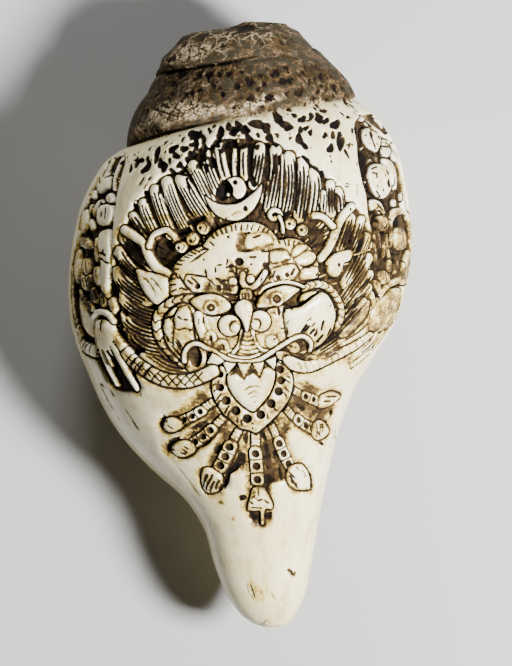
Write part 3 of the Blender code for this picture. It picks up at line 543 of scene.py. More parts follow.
# %% The locks of hair
HAIR_LOCKS = [
    ([184, 367, 170, 364, 159, 358, 150, 352], 9, 2), ([160, 349, 147, 346, 137, 340, 131, 332], 12, 3),
    ([156, 334, 143, 331, 131, 325, 123, 315], 13, 3), ([154, 318, 140, 314, 128, 306, 118, 295], 15, 4),
    ([146, 299, 134, 293, 124, 285, 116, 274], 15, 4), ([142, 280, 131, 272, 123, 263, 118, 253], 13, 4),
    ([148, 266, 137, 255, 129, 246, 123, 238], 13, 4), ([149, 241, 141, 231, 136, 223, 132, 217], 9, 2),
    ([155, 236, 148, 222, 144, 213, 142, 205], 11, 3), ([170, 235, 162, 217, 157, 203, 154, 192], 12, 3),
    ([189, 236, 178, 216, 171, 200, 166, 184], 13, 4), ([206, 222, 195, 206, 187, 192, 181, 181], 15, 4),
    ([210, 203, 203, 189, 197, 177, 192, 167], 11, 3), ([217, 192, 210, 176, 206, 165, 204, 155], 11, 3),
    ([226, 181, 222, 168, 220, 157, 218, 147], 10, 1), ([234, 178, 234, 168, 234, 158, 235, 151], 4.5, 0),
    ([244, 179, 243, 168, 243, 158, 244, 151], 7.5, 1), ([254, 186, 257, 172, 259, 160, 260, 150], 11.5, 3),
    ([270, 210, 274, 190, 277, 170, 276, 152], 12, 3), ([281, 213, 283, 195, 284, 178, 284, 158], 5.5, 1),
    ([287, 215, 291, 196, 292, 176, 290, 158], 11, 3), ([299, 219, 302, 200, 304, 182, 303, 165], 12.5, 3),
    ([313, 216, 316, 200, 317, 186, 314, 174], 10.5, 2), ([323, 212, 324, 203, 324, 194], 5.5, 1),
    ([332, 214, 332, 202, 332, 193, 331, 186], 10, 3), ([342, 212, 342, 204, 341, 198, 339, 192], 8, 2),
    ([341, 252, 346, 240, 350, 228, 352, 219], 10, 3), ([350, 256, 356, 242, 360, 230, 362, 221], 9, 2),
    ([346, 284, 355, 268, 363, 252, 367, 239], 12, 3), ([344, 300, 354, 286, 364, 272, 370, 259], 11, 3),
    ([345, 312, 355, 298, 364, 287, 371, 275], 9.5, 2), ([338, 327, 350, 312, 360, 300, 370, 288], 9, 2),
    ([316, 349, 334, 338, 350, 322, 365, 304], 12, 3),
]
NARROW_GROOVES = range(8, 14)
for number, (path, width, grooves) in enumerate(HAIR_LOCKS):
    drawing.lock(line(path), width, grooves, number, 0.66 if number in NARROW_GROOVES else 1.0)
form([
    340, 335, 352, 322, 362, 310, 370, 300, 368, 314, 358, 327, 346, 337,
], level=-0.9, crown=0.7, rim=4, stain=0.6)
FLAME_CUTS = [
    [369, 236, 366, 244, 361, 256, 350, 276], [371, 247, 364, 262, 351, 282],
    [371, 276, 364, 286, 357, 292], [372, 262, 367, 272, 356, 290, 350, 299],
    [371, 285, 362, 296, 351, 303], [366, 294, 356, 305, 351, 309], [357, 222, 354, 236, 349, 252],
    [361, 228, 357, 242, 351, 254], [366, 232, 361, 246, 354, 262], [350, 300, 343, 311, 338, 318],
    [356, 310, 346, 321, 330, 337], [368, 300, 360, 310, 352, 318],
]
cuts(FLAME_CUTS, 1.9, 0.8, 1.0)
fine_hair = strands(1500, (112, 142), (374, 362), (6, 13), (245, 300), 5)
print(len(HAIR_LOCKS), "locks of hair,", fine_hair, "fine strands")

# %% The black gaps between the locks
HAIR_GAPS = (
    ([145, 194, 147, 203], 4.5), ([134, 206, 136, 212], 4), ([230, 151, 230, 163, 231, 176], 3),
    ([238.5, 150, 238.5, 162, 238, 177], 3.6), ([250, 148, 250, 162, 250, 175, 254, 186], 5.5),
    ([267, 149, 267, 165, 266, 180], 3.6), ([275, 158, 275, 166, 273, 175], 3),
    ([297, 163, 297, 190, 296, 211], 2.6), ([322, 174, 325, 183], 4), ([303, 158, 310, 166, 319, 173], 2.6),
    ([337, 196, 337, 206, 338, 216], 3.4), ([188, 224, 197, 221, 203, 219], 4.5), ([181, 234, 188, 231], 6),
    ([283, 217, 290, 214], 4.5), ([305, 214, 306, 221], 4), ([320, 206, 320, 215], 2.6),
    ([341, 216, 346, 208], 4.5), ([122, 311, 126, 315], 3), ([131, 341, 136, 348, 142, 350], 5),
    ([150, 252, 155, 262], 2), ([345, 247, 352, 238], 3), ([279, 158, 279, 166], 2.2),
    ([158, 184, 159, 194], 2.2), ([172, 174, 182, 176, 190, 178], 2.2), ([186, 180, 189, 192], 2),
    ([340, 308, 337, 318], 3),
)
for path, width in HAIR_GAPS:
    scoop(path, width, -1.9, 1.6, 1.0, 0.6)
print("gaps cut")

# %% [markdown]
# ## Sun and moon
# Over the head hang a crescent moon and a small sun. Borers have eaten a large hole beside the
# sun, and it stays, as all the damage does.

# %% Sun, moon and the borers' hole
MOON = [
    205, 198, 210, 209, 217, 217, 229, 221.5, 241, 220.5, 253, 211, 260, 198, 262, 186, 258, 190,
    252, 195.5, 240, 204, 229, 206, 217, 205, 207, 199,
]
SUN = [226, 183, 233, 179, 241, 180, 245, 186, 246, 191, 243, 198, 236, 200, 230, 193]
form(MOON, level=-0.35, crown=0.65, rim=4, moat=(2.2, 1.0), soot=0.9)
form(SUN, level=-0.55, crown=0.75, rim=5, moat=(2.2, 0.9), soot=0.9)
pit(224, 192, 8.5, 10, 0, depth=1.5, seed=3, rough=0.2)
boss(227, 196, 4, -2.6, 0.5, (1, 0.1), 0.5)
drill(235, 184, 2.3, -1.4)
pit(245.5, 210, 2.6, 2.4, 0, depth=0.7, seed=5)
drill(226, 219.5, 1.0, -0.6)
cuts([[232, 216.5, 240, 213]], 1.1, 0.3, 0.6)
print("sun and moon done")

# %% [markdown]
# ## The crown
# A broad lobed plate lies over the brow. Short ticks mark its edge, a few shallow lines divide it,
# and it is drilled. On its right is a rosette, and over the nose it ends in a curled brow.

# %% The crown's plate and its edge
CROWN = [
    172, 298, 171, 288, 171, 278, 174, 268, 179, 261, 186, 255, 194, 250, 202, 247, 207, 241, 212, 235,
    219, 230, 227, 227, 237, 224, 247, 223.5, 256, 224, 264, 227, 271, 232, 276, 238, 280, 241, 286, 239.5,
    293, 239.5, 300, 241.5, 308, 247, 314, 254, 317, 262, 318, 270, 317, 279, 311, 281, 303, 284, 297, 282,
    290, 281, 283, 283, 270, 286, 262, 290, 256, 296, 250, 290, 243, 290, 238, 284, 236, 294, 222, 292,
    205, 292, 193, 294, 188, 299, 180, 297,
]
CROWN_TICKS = [
    (212, 236), (216, 233), (221, 230), (226, 229), (231.5, 227), (236, 226), (242, 226), (248, 225.5),
    (253, 226), (260, 227.5), (264.5, 229), (268.5, 231), (211, 243), (203, 247.5), (196, 251), (192, 253),
    (188.5, 255.5), (185.5, 257.5), (181, 261), (178, 265), (175, 270), (173, 275), (172, 280), (172, 286),
    (173, 292),
]
ROSETTE_TICKS = [
    (277, 240), (283.5, 241), (288, 241), (293.5, 241.5), (298, 243), (303, 246), (307, 248.5), (311, 252),
    (314, 257),
]
form(CROWN, level=-0.1, crown=0.95, rim=7, moat=(2.6, 1.1), soot=0.9)
for ticks, hub in ((CROWN_TICKS, (240, 268)), (ROSETTE_TICKS, (289, 261))):
    for x, v in ticks:
        run = np.array(hub) - (x, v)
        end = np.array((x, v)) + run * 5.5 / np.hypot(*run)
        drawing.cut(rolled([(x, v), end]), 1.7, 0.45, 0.9)
print(len(CROWN_TICKS) + len(ROSETTE_TICKS), "ticks round the crown")

# %% The crown's lower edge: lobes, hooks and the dark seams between them
form(
    [188, 276, 196, 276.5, 207, 278, 208, 285, 203, 292, 194, 292, 186, 285], level=0.1, crown=0.55, rim=4,
    moat=(1.8, 0.5), soot=0.8,
)
ground([207, 283, 226, 283, 232, 290, 226, 294, 203, 294], -0.3, 3, soot=0.35)
form(
    [211, 280, 219, 281, 225, 286, 221, 289, 212, 286], level=0.0, crown=0.45, rim=3, moat=(1.4, 0.3),
    soot=0.6,
)
form(
    [231, 266, 239, 270, 248, 270.5, 244, 276, 240, 281, 236, 275], level=0.2, crown=0.6, rim=4,
    moat=(1.8, 0.5), soot=0.85,
)
ground([256, 276, 268, 268, 271, 283, 258, 291, 250, 292], -0.4, 3, soot=0.3)
CROWN_SEAMS = [
    [269.5, 250, 268.5, 262, 269, 280], [236.5, 266, 237, 278, 239, 292], [227, 268, 233, 267],
    [188, 274.5, 198, 276, 208, 278], [181, 275, 185, 284, 192, 291], [216, 278, 222, 281, 229, 281],
]
cuts(CROWN_SEAMS, 2.3, 0.6, 0.95)
CROWN_NICKS = [
    [189, 281, 193.5, 284.5], [191.5, 277, 196, 281, 201, 285], [211, 281, 215.5, 286],
    [220, 282, 224.5, 287], [202, 251, 209, 250], [192, 263, 200, 257.5, 210, 251],
    [206.5, 270, 207.5, 277], [216.5, 269, 216.5, 273], [228.5, 260, 227.5, 265], [175, 272, 180, 279],
    [183, 288, 188, 291], [230, 272, 233, 272.5], [262, 252.5, 268, 252], [250, 258, 256, 258],
    [219, 266, 222, 266],
]
cuts(CROWN_NICKS, 1.9, 0.4, 0.95)
CROWN_HOLES = (
    (239.5, 262.5, 4.2), (265, 266, 3.0), (228.5, 238, 1.3), (251, 265, 1.1), (198.5, 287, 2.7),
    (208.5, 288, 2.5), (219, 287.5, 2.4), (204.5, 260.5, 0.9), (181, 289, 0.9),
)
for x, v, radius in CROWN_HOLES:
    drill(x, v, radius, -0.5, 0.85)
print("crown cut")

# %% Rosette
PETALS = (
    [271, 252, 279, 250, 286, 251.5, 289, 259, 281, 262.5, 272, 264, 270, 258],
    [293, 260.5, 299, 255, 308, 252, 315, 256, 312, 263, 304, 266.5, 298, 265],
    [272, 270, 280, 266.5, 289, 264, 296, 267, 298, 273, 293, 280, 284, 283, 275, 281, 272, 276],
    [301, 270, 310, 267, 317, 269, 316, 278, 306, 280.5, 299, 280],
    [291, 251, 299, 245, 306, 248, 301, 253.5, 293, 258],
)
for petal in PETALS:
    form(petal, level=0.3, crown=0.5, rim=4, moat=(1.6, 0.45), soot=0.8)
cuts([[293.5, 269, 290.5, 275.5], [274.5, 272, 272.5, 278], [318, 273, 314.5, 276.5]], 2, 0.45, 0.95)
drill(277.5, 278, 2.6, -0.3, 0.8)
drill(286.5, 275.5, 2.3, -0.3, 0.8)
cuts([[300, 266, 306, 268, 312, 264.5, 317, 258], [300, 282, 308, 281, 318, 279]], 2.4, 0.6, 0.95)
print("rosette done")

# %% The chipped place on the crown, and the curled brow
ground([237, 235, 245, 234, 256, 247, 272, 244, 272, 249, 252, 252.5, 237, 252], 0.15, 3, soot=0.1)
form([
    247, 236.5, 255, 235, 265, 234, 272, 239, 271, 244, 262, 245.5, 254, 248.5, 247, 249, 244.5, 243,
], level=0.55, crown=0.35, rim=4, moat=(1.5, 0.3), soot=0.5)
cuts([[253.5, 238.5, 260, 236.5], [245, 234.5, 250, 234], [239, 251, 246, 252, 254, 251]], 2.2, 0.45, 0.95)
drill(237.5, 247, 1.6, 0.1, 0.7)
drill(240.5, 251, 1.6, 0.1, 0.7)
rope([243, 275, 242.5, 282, 246, 287.5, 253, 287.5, 260, 281, 265, 273], 5.5, 0.4, 0.6, (2.0, 0.8), 0.9)
boss(250.5, 279.5, 8, 0.4, 0.6, (1.6, 0.8), 0.85)
boss(233, 282, 8, 0.2, 0.6, (1.8, 0.8), 0.9)
drill(233, 286.5, 1.8, -0.3, 0.8)
cuts([[262, 279, 260.5, 282], [249, 286, 252, 284.5]], 2, 0.5)
form(
    [240.5, 291, 246, 289.5, 251, 291, 251.5, 299, 246, 300, 240, 300], level=0.0, crown=0.6, rim=3,
    moat=(2.0, 0.8), soot=0.9,
)
cuts([[x, 294, x + 0.5, 299] for x in (242.3, 245.3, 248.5)], 1.7, 0.5)
print("brow done")

# %% [markdown]
# ## Horns, curls and ears
# Tubes with drilled ends curl up from the temples, three beads of curled hair lie on each side of
# the moon, and the ears are pointed leaves.

# %% Horns
pit(163, 250, 8, 10, 20, depth=0.6, soot=0.6, seed=4, rough=0.2)
pit(317, 236, 8, 13, -10, depth=0.6, soot=0.55, seed=6, rough=0.2)
rope([124, 231, 135, 238, 144, 245, 147, 254, 152, 263, 158, 270, 168, 275], 9.5, -0.6, 1.0, (2.2, 0.9))
rope([149, 247, 153, 237, 160, 232.5, 168, 231.5, 176, 240], 6, -0.6, 0.9, (2.0, 0.7))
rope([352, 208, 344, 216, 338, 227, 333, 240, 328, 250, 321, 259], 8.5, -0.6, 1.0, (2.2, 0.9))
rope([314, 217, 320, 217, 326, 220, 333, 227], 6.5, -0.7, 0.9, (2.0, 0.7))
drill(350, 210.5, 1.7, -1.1)
cuts([[128, 235, 137, 242, 143, 249], [343, 222, 337, 234, 331, 246]], 1.2, 0.3, 0.6)
print("horns done")

# %% Curls and ears
CURLS = (
    (203, 229, 13, (200.5, 229)), (192, 240, 13, (191, 242)), (181, 248, 12, (179, 249)),
    (290, 225, 12, (289, 225)), (302.5, 231, 12, (301, 231)),
)
for x, v, width, dot in CURLS:
    boss(x, v, width, -0.6, 1.0, (2.2, 0.8), 0.9)
    drill(*dot, 1.7, -0.6)
    drawing.cut(spiral(x, v, width * 0.42, 200, 260, 0.35), 1.2, 0.35, 0.85)
drawing.rope(spiral(274, 217, 7, 20, -330, 0.6), 4.6, -0.5, 0.9, (2.0, 0.8), 0.9)
rope([279, 218, 282, 225, 283, 233], 4, -0.5, 0.8, (1.8, 0.7), 0.9)
form([
    136, 270, 147, 272.5, 166, 277, 169, 286, 168, 296, 157, 305, 147, 297, 140.5, 286,
], level=-0.7, crown=1.0, rim=5, moat=(2.4, 0.9))
cuts([[144, 277, 152, 285, 158, 297], [151, 277, 158, 284, 163, 292]], 1.3, 0.35, 0.7)
form([
    353, 251, 342, 252, 333, 256, 326, 263, 327, 271, 332, 277, 338, 277, 342, 271, 344, 264, 350, 261,
], level=-0.7, crown=1.0, rim=5)
drill(338.5, 265.5, 2.0, -0.8)
drill(326.5, 267, 1.2, -0.8)
print("curls and ears done")

# %% [markdown]
# ## The face
# A wide face: bulging almond eyes, a bulb of a nose between two spiral nostrils, puffed cheeks,
# and a lip drawn across with teeth under it. The forms stand nearly as high as the old skin of
# the shell, and the field between them is stained.

# %% Face: the field, and the twisted cords round the cheeks
FACE_FIELD = [
    190, 300, 205, 316, 225, 316, 236, 322, 255, 320, 272, 308, 286, 308, 290, 338, 276, 352, 258, 360,
    236, 361, 212, 351, 198, 345, 194, 325,
]
CORD_LEFT = [
    191, 299.5, 182, 300.5, 173, 302, 166, 306, 160, 311.5, 156.5, 319, 156.5, 328, 159, 337, 165, 346.5,
    173, 355.5, 183, 363,
]
CORD_RIGHT = [304, 289, 311, 285.5, 319, 284.5, 327, 287, 334, 293, 339, 301, 342, 310, 341, 320, 336, 329]
form(FACE_FIELD, level=-0.55, crown=0.3, rim=9, moat=(2.0, 0.4), soot=0.4, stain=0.85)
rope(CORD_LEFT, 9, -0.9, 1.2, (2.4, 0.6), 0.95, ribs=(9.6, 1.0, 0.75))
rope(CORD_RIGHT, 7, -0.9, 1.1, (2.0, 0.6), 0.9, ribs=(7.4, 1.0, 0.6))
print("cords done")

# %% Face: left cheek
form([
    164, 318, 171, 309, 181, 304, 190, 306, 195, 313, 197, 326, 197, 340, 190, 350, 186, 364, 178, 357,
    168, 346, 163.5, 332,
], level=-0.55, crown=0.95, rim=7, moat=(2.6, 1.0), soot=0.95, stain=0.5)
form(
    [165, 320, 170, 318.5, 173.5, 323, 174, 332, 172.5, 342, 167, 336, 163.8, 327], level=-0.15, crown=0.6,
    rim=4, moat=(1.8, 0.6), soot=0.8,
)
form(
    [168, 316, 171, 311.5, 177, 307.5, 177, 311, 173.5, 316], level=-0.15, crown=0.5, rim=3,
    moat=(1.8, 0.6), soot=0.9,
)
form([
    175, 320, 177.5, 312, 181, 307.5, 187, 306.5, 191, 311, 193.5, 320, 192.5, 329, 186, 328, 178, 329,
], level=0.0, crown=0.75, rim=6, moat=(1.6, 0.5), soot=0.75)
cuts([
    [191, 312, 194, 324, 195, 334, 196, 342], [178, 309.5, 175, 315], [166, 318, 173.5, 316.8],
], 2.3, 0.6, 1.0)
LEFT_CHEEK_NICKS = [
    [179, 316.5, 183, 319], [185.5, 319.5, 189, 320], [176.5, 338, 180, 342, 183.5, 347.5],
    [177, 342, 181, 347], [168, 337.5, 168.5, 341.5], [165, 321.5, 165, 325], [190, 329, 191.5, 331],
    [172, 344, 176, 350, 181, 356], [176, 348, 181, 355, 187, 362], [180, 347, 184, 353],
    [173.5, 341, 175, 345],
]
cuts(LEFT_CHEEK_NICKS, 1.8, 0.45, 0.95)
print("left cheek done")

# %% Face: right cheek
form([
    284, 311, 292, 308.5, 299, 307, 306, 302, 313, 297.5, 320, 293, 326, 294, 331, 301, 335, 312, 334, 324,
    330, 334, 322, 343, 312, 350, 305, 347, 303, 338, 295, 338.5, 288, 338, 285, 325,
], level=-0.5, crown=1.15, rim=7, moat=(2.4, 0.9), soot=0.9, stain=0.0)
form(
    [299, 303, 300, 297, 305, 293, 312, 291.5, 317, 292.5, 310, 297, 305, 301], level=-0.3, crown=0.7,
    rim=4, moat=(1.8, 0.6), soot=0.85,
)
cuts([[299, 307.5, 304, 303, 308, 300, 312, 297, 319, 293.5]], 3.0, 0.7, 1.0)
RIGHT_CHEEK_SLOTS = [
    [301, 331.5, 305.5, 325], [304, 331, 308, 326.5], [309.5, 333.5, 313, 329.5],
    [313.5, 335.5, 315.5, 332.5], [315.5, 341.5, 321.5, 335.5], [327, 334.5, 329.5, 329],
    [320, 331, 321, 326, 322, 322, 323, 320.5], [284, 308, 284.5, 312], [278.5, 309, 279, 315],
]
cuts(RIGHT_CHEEK_SLOTS, 2.8, 0.6, 1.1)
RIGHT_CHEEK_NICKS = [
    [315, 330.5, 316, 329], [316.5, 342.5, 318, 341], [306, 321, 310, 319], [291, 307, 292, 310],
    [273, 312, 276, 315], [280, 328, 283, 328.5], [310, 350, 320, 345, 330, 339, 334, 336],
    [312, 352, 322, 347], [328.5, 307, 330.5, 304], [333, 310, 334.5, 307], [286, 322, 287.5, 334],
    [299, 303, 303, 300], [318, 347, 326, 341], [307, 347, 312, 344], [311, 326, 314, 323],
]
cuts(RIGHT_CHEEK_NICKS, 1.5, 0.4, 0.9)
CHEEK_DOTS = (
    (328, 340, 1.0), (324, 343, 1.0), (287, 309, 1.0), (287.5, 322, 1.0), (287, 309.5, 0.9),
    (290, 310.5, 0.9), (306.5, 337, 0.9), (288, 321, 0.9),
)
for x, v, radius in CHEEK_DOTS:
    drill(x, v, radius, -0.1, 0.8)
print("right cheek done")

# %% Face: eyes
LEFT_EYE = [
    190, 302, 196, 297, 204, 295, 213, 294.5, 221, 297, 227.5, 302, 230.5, 307, 226, 311.5, 219, 314,
    211, 315, 203, 313, 196, 308,
]
RIGHT_EYE = [
    256.5, 307, 258, 300, 262, 294, 269, 290, 277, 287.5, 286, 286, 294, 287.5, 300, 290, 294, 295,
    288, 300, 281, 304.5, 273, 306.5, 264, 307.5,
]
for eye, x, v, pupil in ((LEFT_EYE, 212, 308, 3.9), (RIGHT_EYE, 276.5, 299.5, 4.4)):
    form(eye, level=-0.5, crown=1.05, rim=6, moat=(2.4, 1.0), soot=0.75, stain=0.15)
    boss(x, v, 14, 0.3, 0.65, (1.3, 0.35), 0.5)
    drill(x, v, pupil, 0.15, 0.85, rim=0.5)
    boss(x, v, 2.4, 0.15, 0.15, (0.3, 0.0), 0.0)
cuts([
    [193, 301, 199, 299, 205, 298], [217, 299, 221, 301, 225, 304], [261, 296, 267, 292],
    [268, 304.5, 268, 297, 272, 292.5],
], 1.4, 0.25, 0.55)
rope([259, 294, 264, 288.5, 272, 285, 283, 282.5, 294, 283.5, 303, 287], 3.2, -0.3, 0.6, (1.6, 0.5), 0.85)
boss(266, 302, 7, 0.2, 0.5, (1.0, 0.3), 0.4)
print("eyes done")

# %% Face: muzzle
rope([198, 315, 199, 324, 202, 333, 206, 341, 211, 347], 8, -0.35, 0.9, (1.6, 0.3), 0.4)
rope([205.5, 319, 208, 326, 210, 331], 3.4, -0.4, 0.5, (1.2, 0.2), 0.5)
rope([207.5, 338, 208.5, 334, 212, 333, 214.5, 337, 214.5, 343], 4.4, -0.3, 0.8, (1.4, 0.4), 0.6)
rope([215, 346, 220, 342, 224.5, 342, 227, 346, 226, 351], 4.8, -0.3, 0.85, (1.4, 0.4), 0.6)
rope([206, 346, 214, 350.5, 224, 352.5, 232, 351], 4.6, -0.2, 0.75, (1.2, 0.3), 0.5)
rope([241, 330, 241, 338, 238.5, 346, 233, 353], 3.4, -0.1, 0.9, (1.6, 0.5), 0.8)
form(
    [255, 336, 260, 334, 264, 338, 264, 345, 260, 347, 256, 342], level=-0.35, crown=0.7, rim=4,
    moat=(1.2, 0.3), soot=0.5,
)
form(
    [266, 338, 272, 335, 277, 338, 277, 344, 271, 348, 266, 345], level=-0.35, crown=0.8, rim=4,
    moat=(1.2, 0.4), soot=0.6,
)
form([277, 335, 283, 332, 285, 336, 281, 341], level=-0.35, crown=0.6, rim=3, moat=(1.2, 0.3), soot=0.5)
rope([252.5, 330, 254, 338, 257, 345, 263, 350, 271, 351], 3.2, -0.1, 0.9, (1.5, 0.4), 0.7)
cuts([
    [273, 339.5, 276.5, 338], [280, 345.5, 284, 342.5, 288.5, 339.5], [200, 319, 199, 324],
    [204, 318, 203, 323], [202, 338, 206, 344], [263, 347.5, 267, 348.5],
], 1.6, 0.35, 0.85)
cuts([
    [274, 309, 275, 314], [278, 308, 278.5, 315], [209, 318, 210, 323], [281, 309, 281, 313],
], 1.2, 0.2, 0.6)
for row in range(4):
    v = 4.4 * row
    rope([243.5 - row, 338 + v, 248, 339 + v, 253 + 1.2 * row, 337.5 + v], 2.9, -0.4, 0.7, (0.9, 0.35), 0.7)
print("muzzle done")

# %% Face: nostrils and nose
boss(229.5, 325.5, 21, 0.0, 0.95, (2.4, 1.0), 0.7)
boss(235, 327.8, 9, 0.5, 0.4, (1.3, 0.4), 0.4)
cuts([[238.5, 321.5, 234.5, 321, 231, 324, 230.3, 328, 232, 332]], 2.2, 0.6, 0.8)
boss(260.2, 321, 20.5, 0.0, 0.95, (2.4, 1.0), 0.7)
boss(255.3, 325.5, 8.5, 0.5, 0.4, (1.3, 0.4), 0.4)
cuts([[252, 319.5, 256, 318.8, 259.8, 320.6, 260.6, 324.5, 258.5, 329]], 2.2, 0.6, 0.7)
for x, v in ((258.5, 312.5), (252.5, 314.5), (250, 319), (250.3, 326.5), (250, 332)):
    drill(x, v, 0.9, 0.2, 0.85)
form([
    237, 303, 240.5, 300.8, 245, 300, 250, 302, 252.5, 308, 251.5, 316, 249.5, 324, 247.5, 331, 245.5, 331,
    243.5, 325, 240.5, 319, 236, 313.5, 234.5, 308,
], level=0.35, crown=1.3, rim=7, moat=(1.8, 0.9), soot=0.65)
cuts([[242.5, 327, 243.5, 332, 242, 338, 240.5, 343, 239.5, 347]], 2.5, 0.6, 1.0)
for x, v in ((238, 351), (237.5, 355.5), (236.5, 359)):
    drill(x, v, 1.2, -0.6, 0.95)
wash([197, 318, 240, 330, 285, 318, 290, 335, 270, 352, 230, 358, 205, 345], 0.62)
wash([205, 288, 225, 283, 262, 285, 285, 300, 262, 312, 240, 300, 215, 300], 0.7, 0.0, 8.0)
print("nose done")

# %% [markdown]
# ## Hung ornaments
# Seven strings of beads and buds hang below the collar. The carver scooped the ground away softly
# round each of them, so each has an amber halo, and drilled every plate.

# %% The scooped ground round each string
scoop([255, 432, 256, 452, 257, 478, 257, 500, 260, 516], 23)
scoop([238, 426, 230, 444, 220, 464, 210, 480], 21)
scoop([272, 424, 280, 444, 290, 464, 300, 478], 21)
scoop([222, 416, 206, 432, 186, 447, 170, 449], 17)
scoop([212, 402, 196, 412, 180, 420, 165, 423], 16)
scoop([293, 391, 308, 396, 324, 400, 336, 400], 16)
scoop([286, 408, 300, 420, 314, 428, 322, 431], 18)
print("ground scooped out")

# %% Brown left between the strings
BROWN_GROUND = (
    ([292, 402, 300, 399, 312, 404, 322, 407, 333, 409, 326, 415, 321, 421, 311, 420, 302, 412], 0.4),
    ([276, 419, 283, 415, 290, 420, 292, 428, 287, 434, 283, 441, 279, 433, 276, 426], 0.42),
    ([267, 442, 274, 438, 278, 447, 281, 457, 286, 469, 288, 479, 280, 481, 270, 480, 266, 470], 0.36),
    ([236, 432, 246, 433, 249, 446, 246, 460, 242, 470, 238, 462, 240, 448, 234, 440], 0.26),
    ([197, 389, 206, 392, 211, 400, 203, 404, 192, 409, 178, 413, 170, 413, 184, 403], 0.3),
    ([204, 408, 214, 410, 218, 417, 208, 424, 196, 432, 184, 437, 192, 428, 204, 420], 0.34),
    ([224, 424, 232, 428, 229, 438, 222, 447, 213, 458, 206, 464, 212, 448, 219, 437], 0.34),
    ([296, 382, 306, 388, 318, 391, 324, 389, 316, 386, 306, 380], 0.3),
)
for brown, tone in BROWN_GROUND:
    field(brown, -1.2, 5.0, soot=tone)
print("browns laid")

# %% Strings, plates and buds
STRINGS = (
    ([255, 431, 255, 439, 255, 447], 8.5, ((255, 453), (256, 465.5), (257, 479)), 12.5),
    ([240, 426, 236, 433, 232, 440], 7, ((229, 446.5), (224.5, 456), (219.5, 465)), 12.5),
    ([271, 424, 274, 430, 277, 437], 7, ((279.5, 443), (284, 453), (289, 463)), 12),
    ([223, 416, 218, 421, 214, 425], 7, ((209.5, 429.5), (202, 436), (194, 441)), 10.5),
    ([213, 401, 208, 404, 203, 407], 7, ((199, 411), (191, 415.5), (183, 419)), 9.5),
    ([294, 390, 298, 392, 301, 394], 7, ((306, 396), (314, 399), (321, 402)), 9.5),
    ([286, 408, 290, 412, 293, 416], 7.5, ((299, 419.5), (306, 424.5), (312, 427.5)), 10.5),
)
for stem, width, plates, size in STRINGS:
    rope(stem, width, -0.7, 0.7, (2.0, 0.5), 0.75, ribs=(3.6, 0.0, 0.35))
    pitch = (np.array(plates[-1]) - plates[0]) / (len(plates) - 1)
    ends = plates[0] - 0.1 * pitch, plates[-1] + 0.1 * pitch
    rope([ends[0], *plates, ends[1]], size, -0.75, 0.85, (1.8, 0.6))
    side = np.array([-pitch[1], pitch[0]]) * 0.5 * size / np.hypot(*pitch)
    for plate in plates[1:]:
        gap = plate - 0.5 * pitch
        cuts([[gap - side, gap + side]], 1.4, 0.5, 0.85)
    for x, v in plates:
        drill(x, v, size * 0.3, -1.5, 0.85, rim=0.8)
PENDANT = [
    252.5, 487, 264, 487, 267.5, 492, 271, 499, 273, 505, 271, 508.5, 264.5, 509.5, 263.5, 523, 260, 523,
    259.5, 511, 252, 510.5, 247, 509.5, 247, 504, 249.5, 496,
]
LOWER_LEFT_BUD = [202, 468, 210, 467.5, 219, 474, 222, 483, 218, 490, 208, 493, 202, 488, 200, 478]
LOWER_RIGHT_BUD = [
    295, 464, 303, 464, 310, 474, 313, 485, 308, 489.5, 296, 489, 288, 483, 287, 474, 289, 467,
]
MIDDLE_LEFT_BUD = [178, 440, 188, 440.5, 193.5, 446, 192, 452, 184, 456.5, 175, 455.5, 169.5, 449, 172, 443]
UPPER_LEFT_BUD = [
    165, 418, 171, 416.5, 177, 418.5, 181, 422, 181, 427, 176, 430.5, 170, 432, 164, 430, 162, 424,
]
UPPER_RIGHT_BUD = [325, 393, 333, 391, 341, 395, 337, 401, 329, 406.5, 320, 407.5, 320, 399]
MIDDLE_RIGHT_BUD = [317, 421, 323, 420, 328.5, 427, 329, 433, 323, 438.5, 316, 439, 313, 433.5, 313, 426]
forms((
    PENDANT, LOWER_LEFT_BUD, LOWER_RIGHT_BUD, MIDDLE_LEFT_BUD, UPPER_LEFT_BUD, UPPER_RIGHT_BUD,
    MIDDLE_RIGHT_BUD,
), level=-0.75, crown=1.0, rim=6, moat=(2.2, 0.7), soot=0.9)
print(len(STRINGS), "strings of ornaments")

# %% Cuts on the buds, and the deep places beside them
cuts([
    [206, 489.5, 213, 474.5], [215.5, 488.5, 219, 480], [202.5, 486, 208, 475], [210, 491, 215, 481],
    [218.5, 489, 221.5, 484], [204, 480, 207, 474],
], 1.9, 0.45, 0.95)
BUD_NICKS = [
    [172, 449, 175, 449.5], [183, 453.5, 186, 452], [166, 421, 168, 420.5], [290, 475, 292, 478],
    [292.5, 474, 294.5, 476.5], [290, 478.5, 294, 483, 298.5, 488], [319.5, 424, 323, 424.5],
    [319.5, 426.5, 323, 427], [325, 421, 327, 421], [324, 397, 331, 396, 337, 396], [323, 401, 330, 401],
    [317, 431, 320, 436], [253, 493, 255, 491], [252, 497, 255, 495], [250, 501, 253, 503],
    [252, 507, 262, 507.5], [265, 488, 268, 493], [256, 513, 257.5, 516, 258, 523, 261, 523.5],
    [296, 466, 299, 470], [303, 471, 306, 476], [289, 471.5, 294.5, 478], [289, 475.5, 297, 484],
    [290.5, 480.5, 298, 487.5], [316.5, 422, 316.5, 436], [319.5, 421, 319.5, 434], [322.5, 423, 322, 431],
    [185, 446, 190, 449], [183, 449, 188, 452], [181, 452, 185, 454.5], [168, 425, 173, 428],
    [255, 497, 259, 500, 264, 498], [258, 489, 259, 494], [265, 500, 269, 503],
]
cuts(BUD_NICKS, 1.5, 0.35, 0.85)
for x, v in ((301, 469.5), (304, 476.5)):
    drill(x, v, 0.9, -0.6, 0.8)
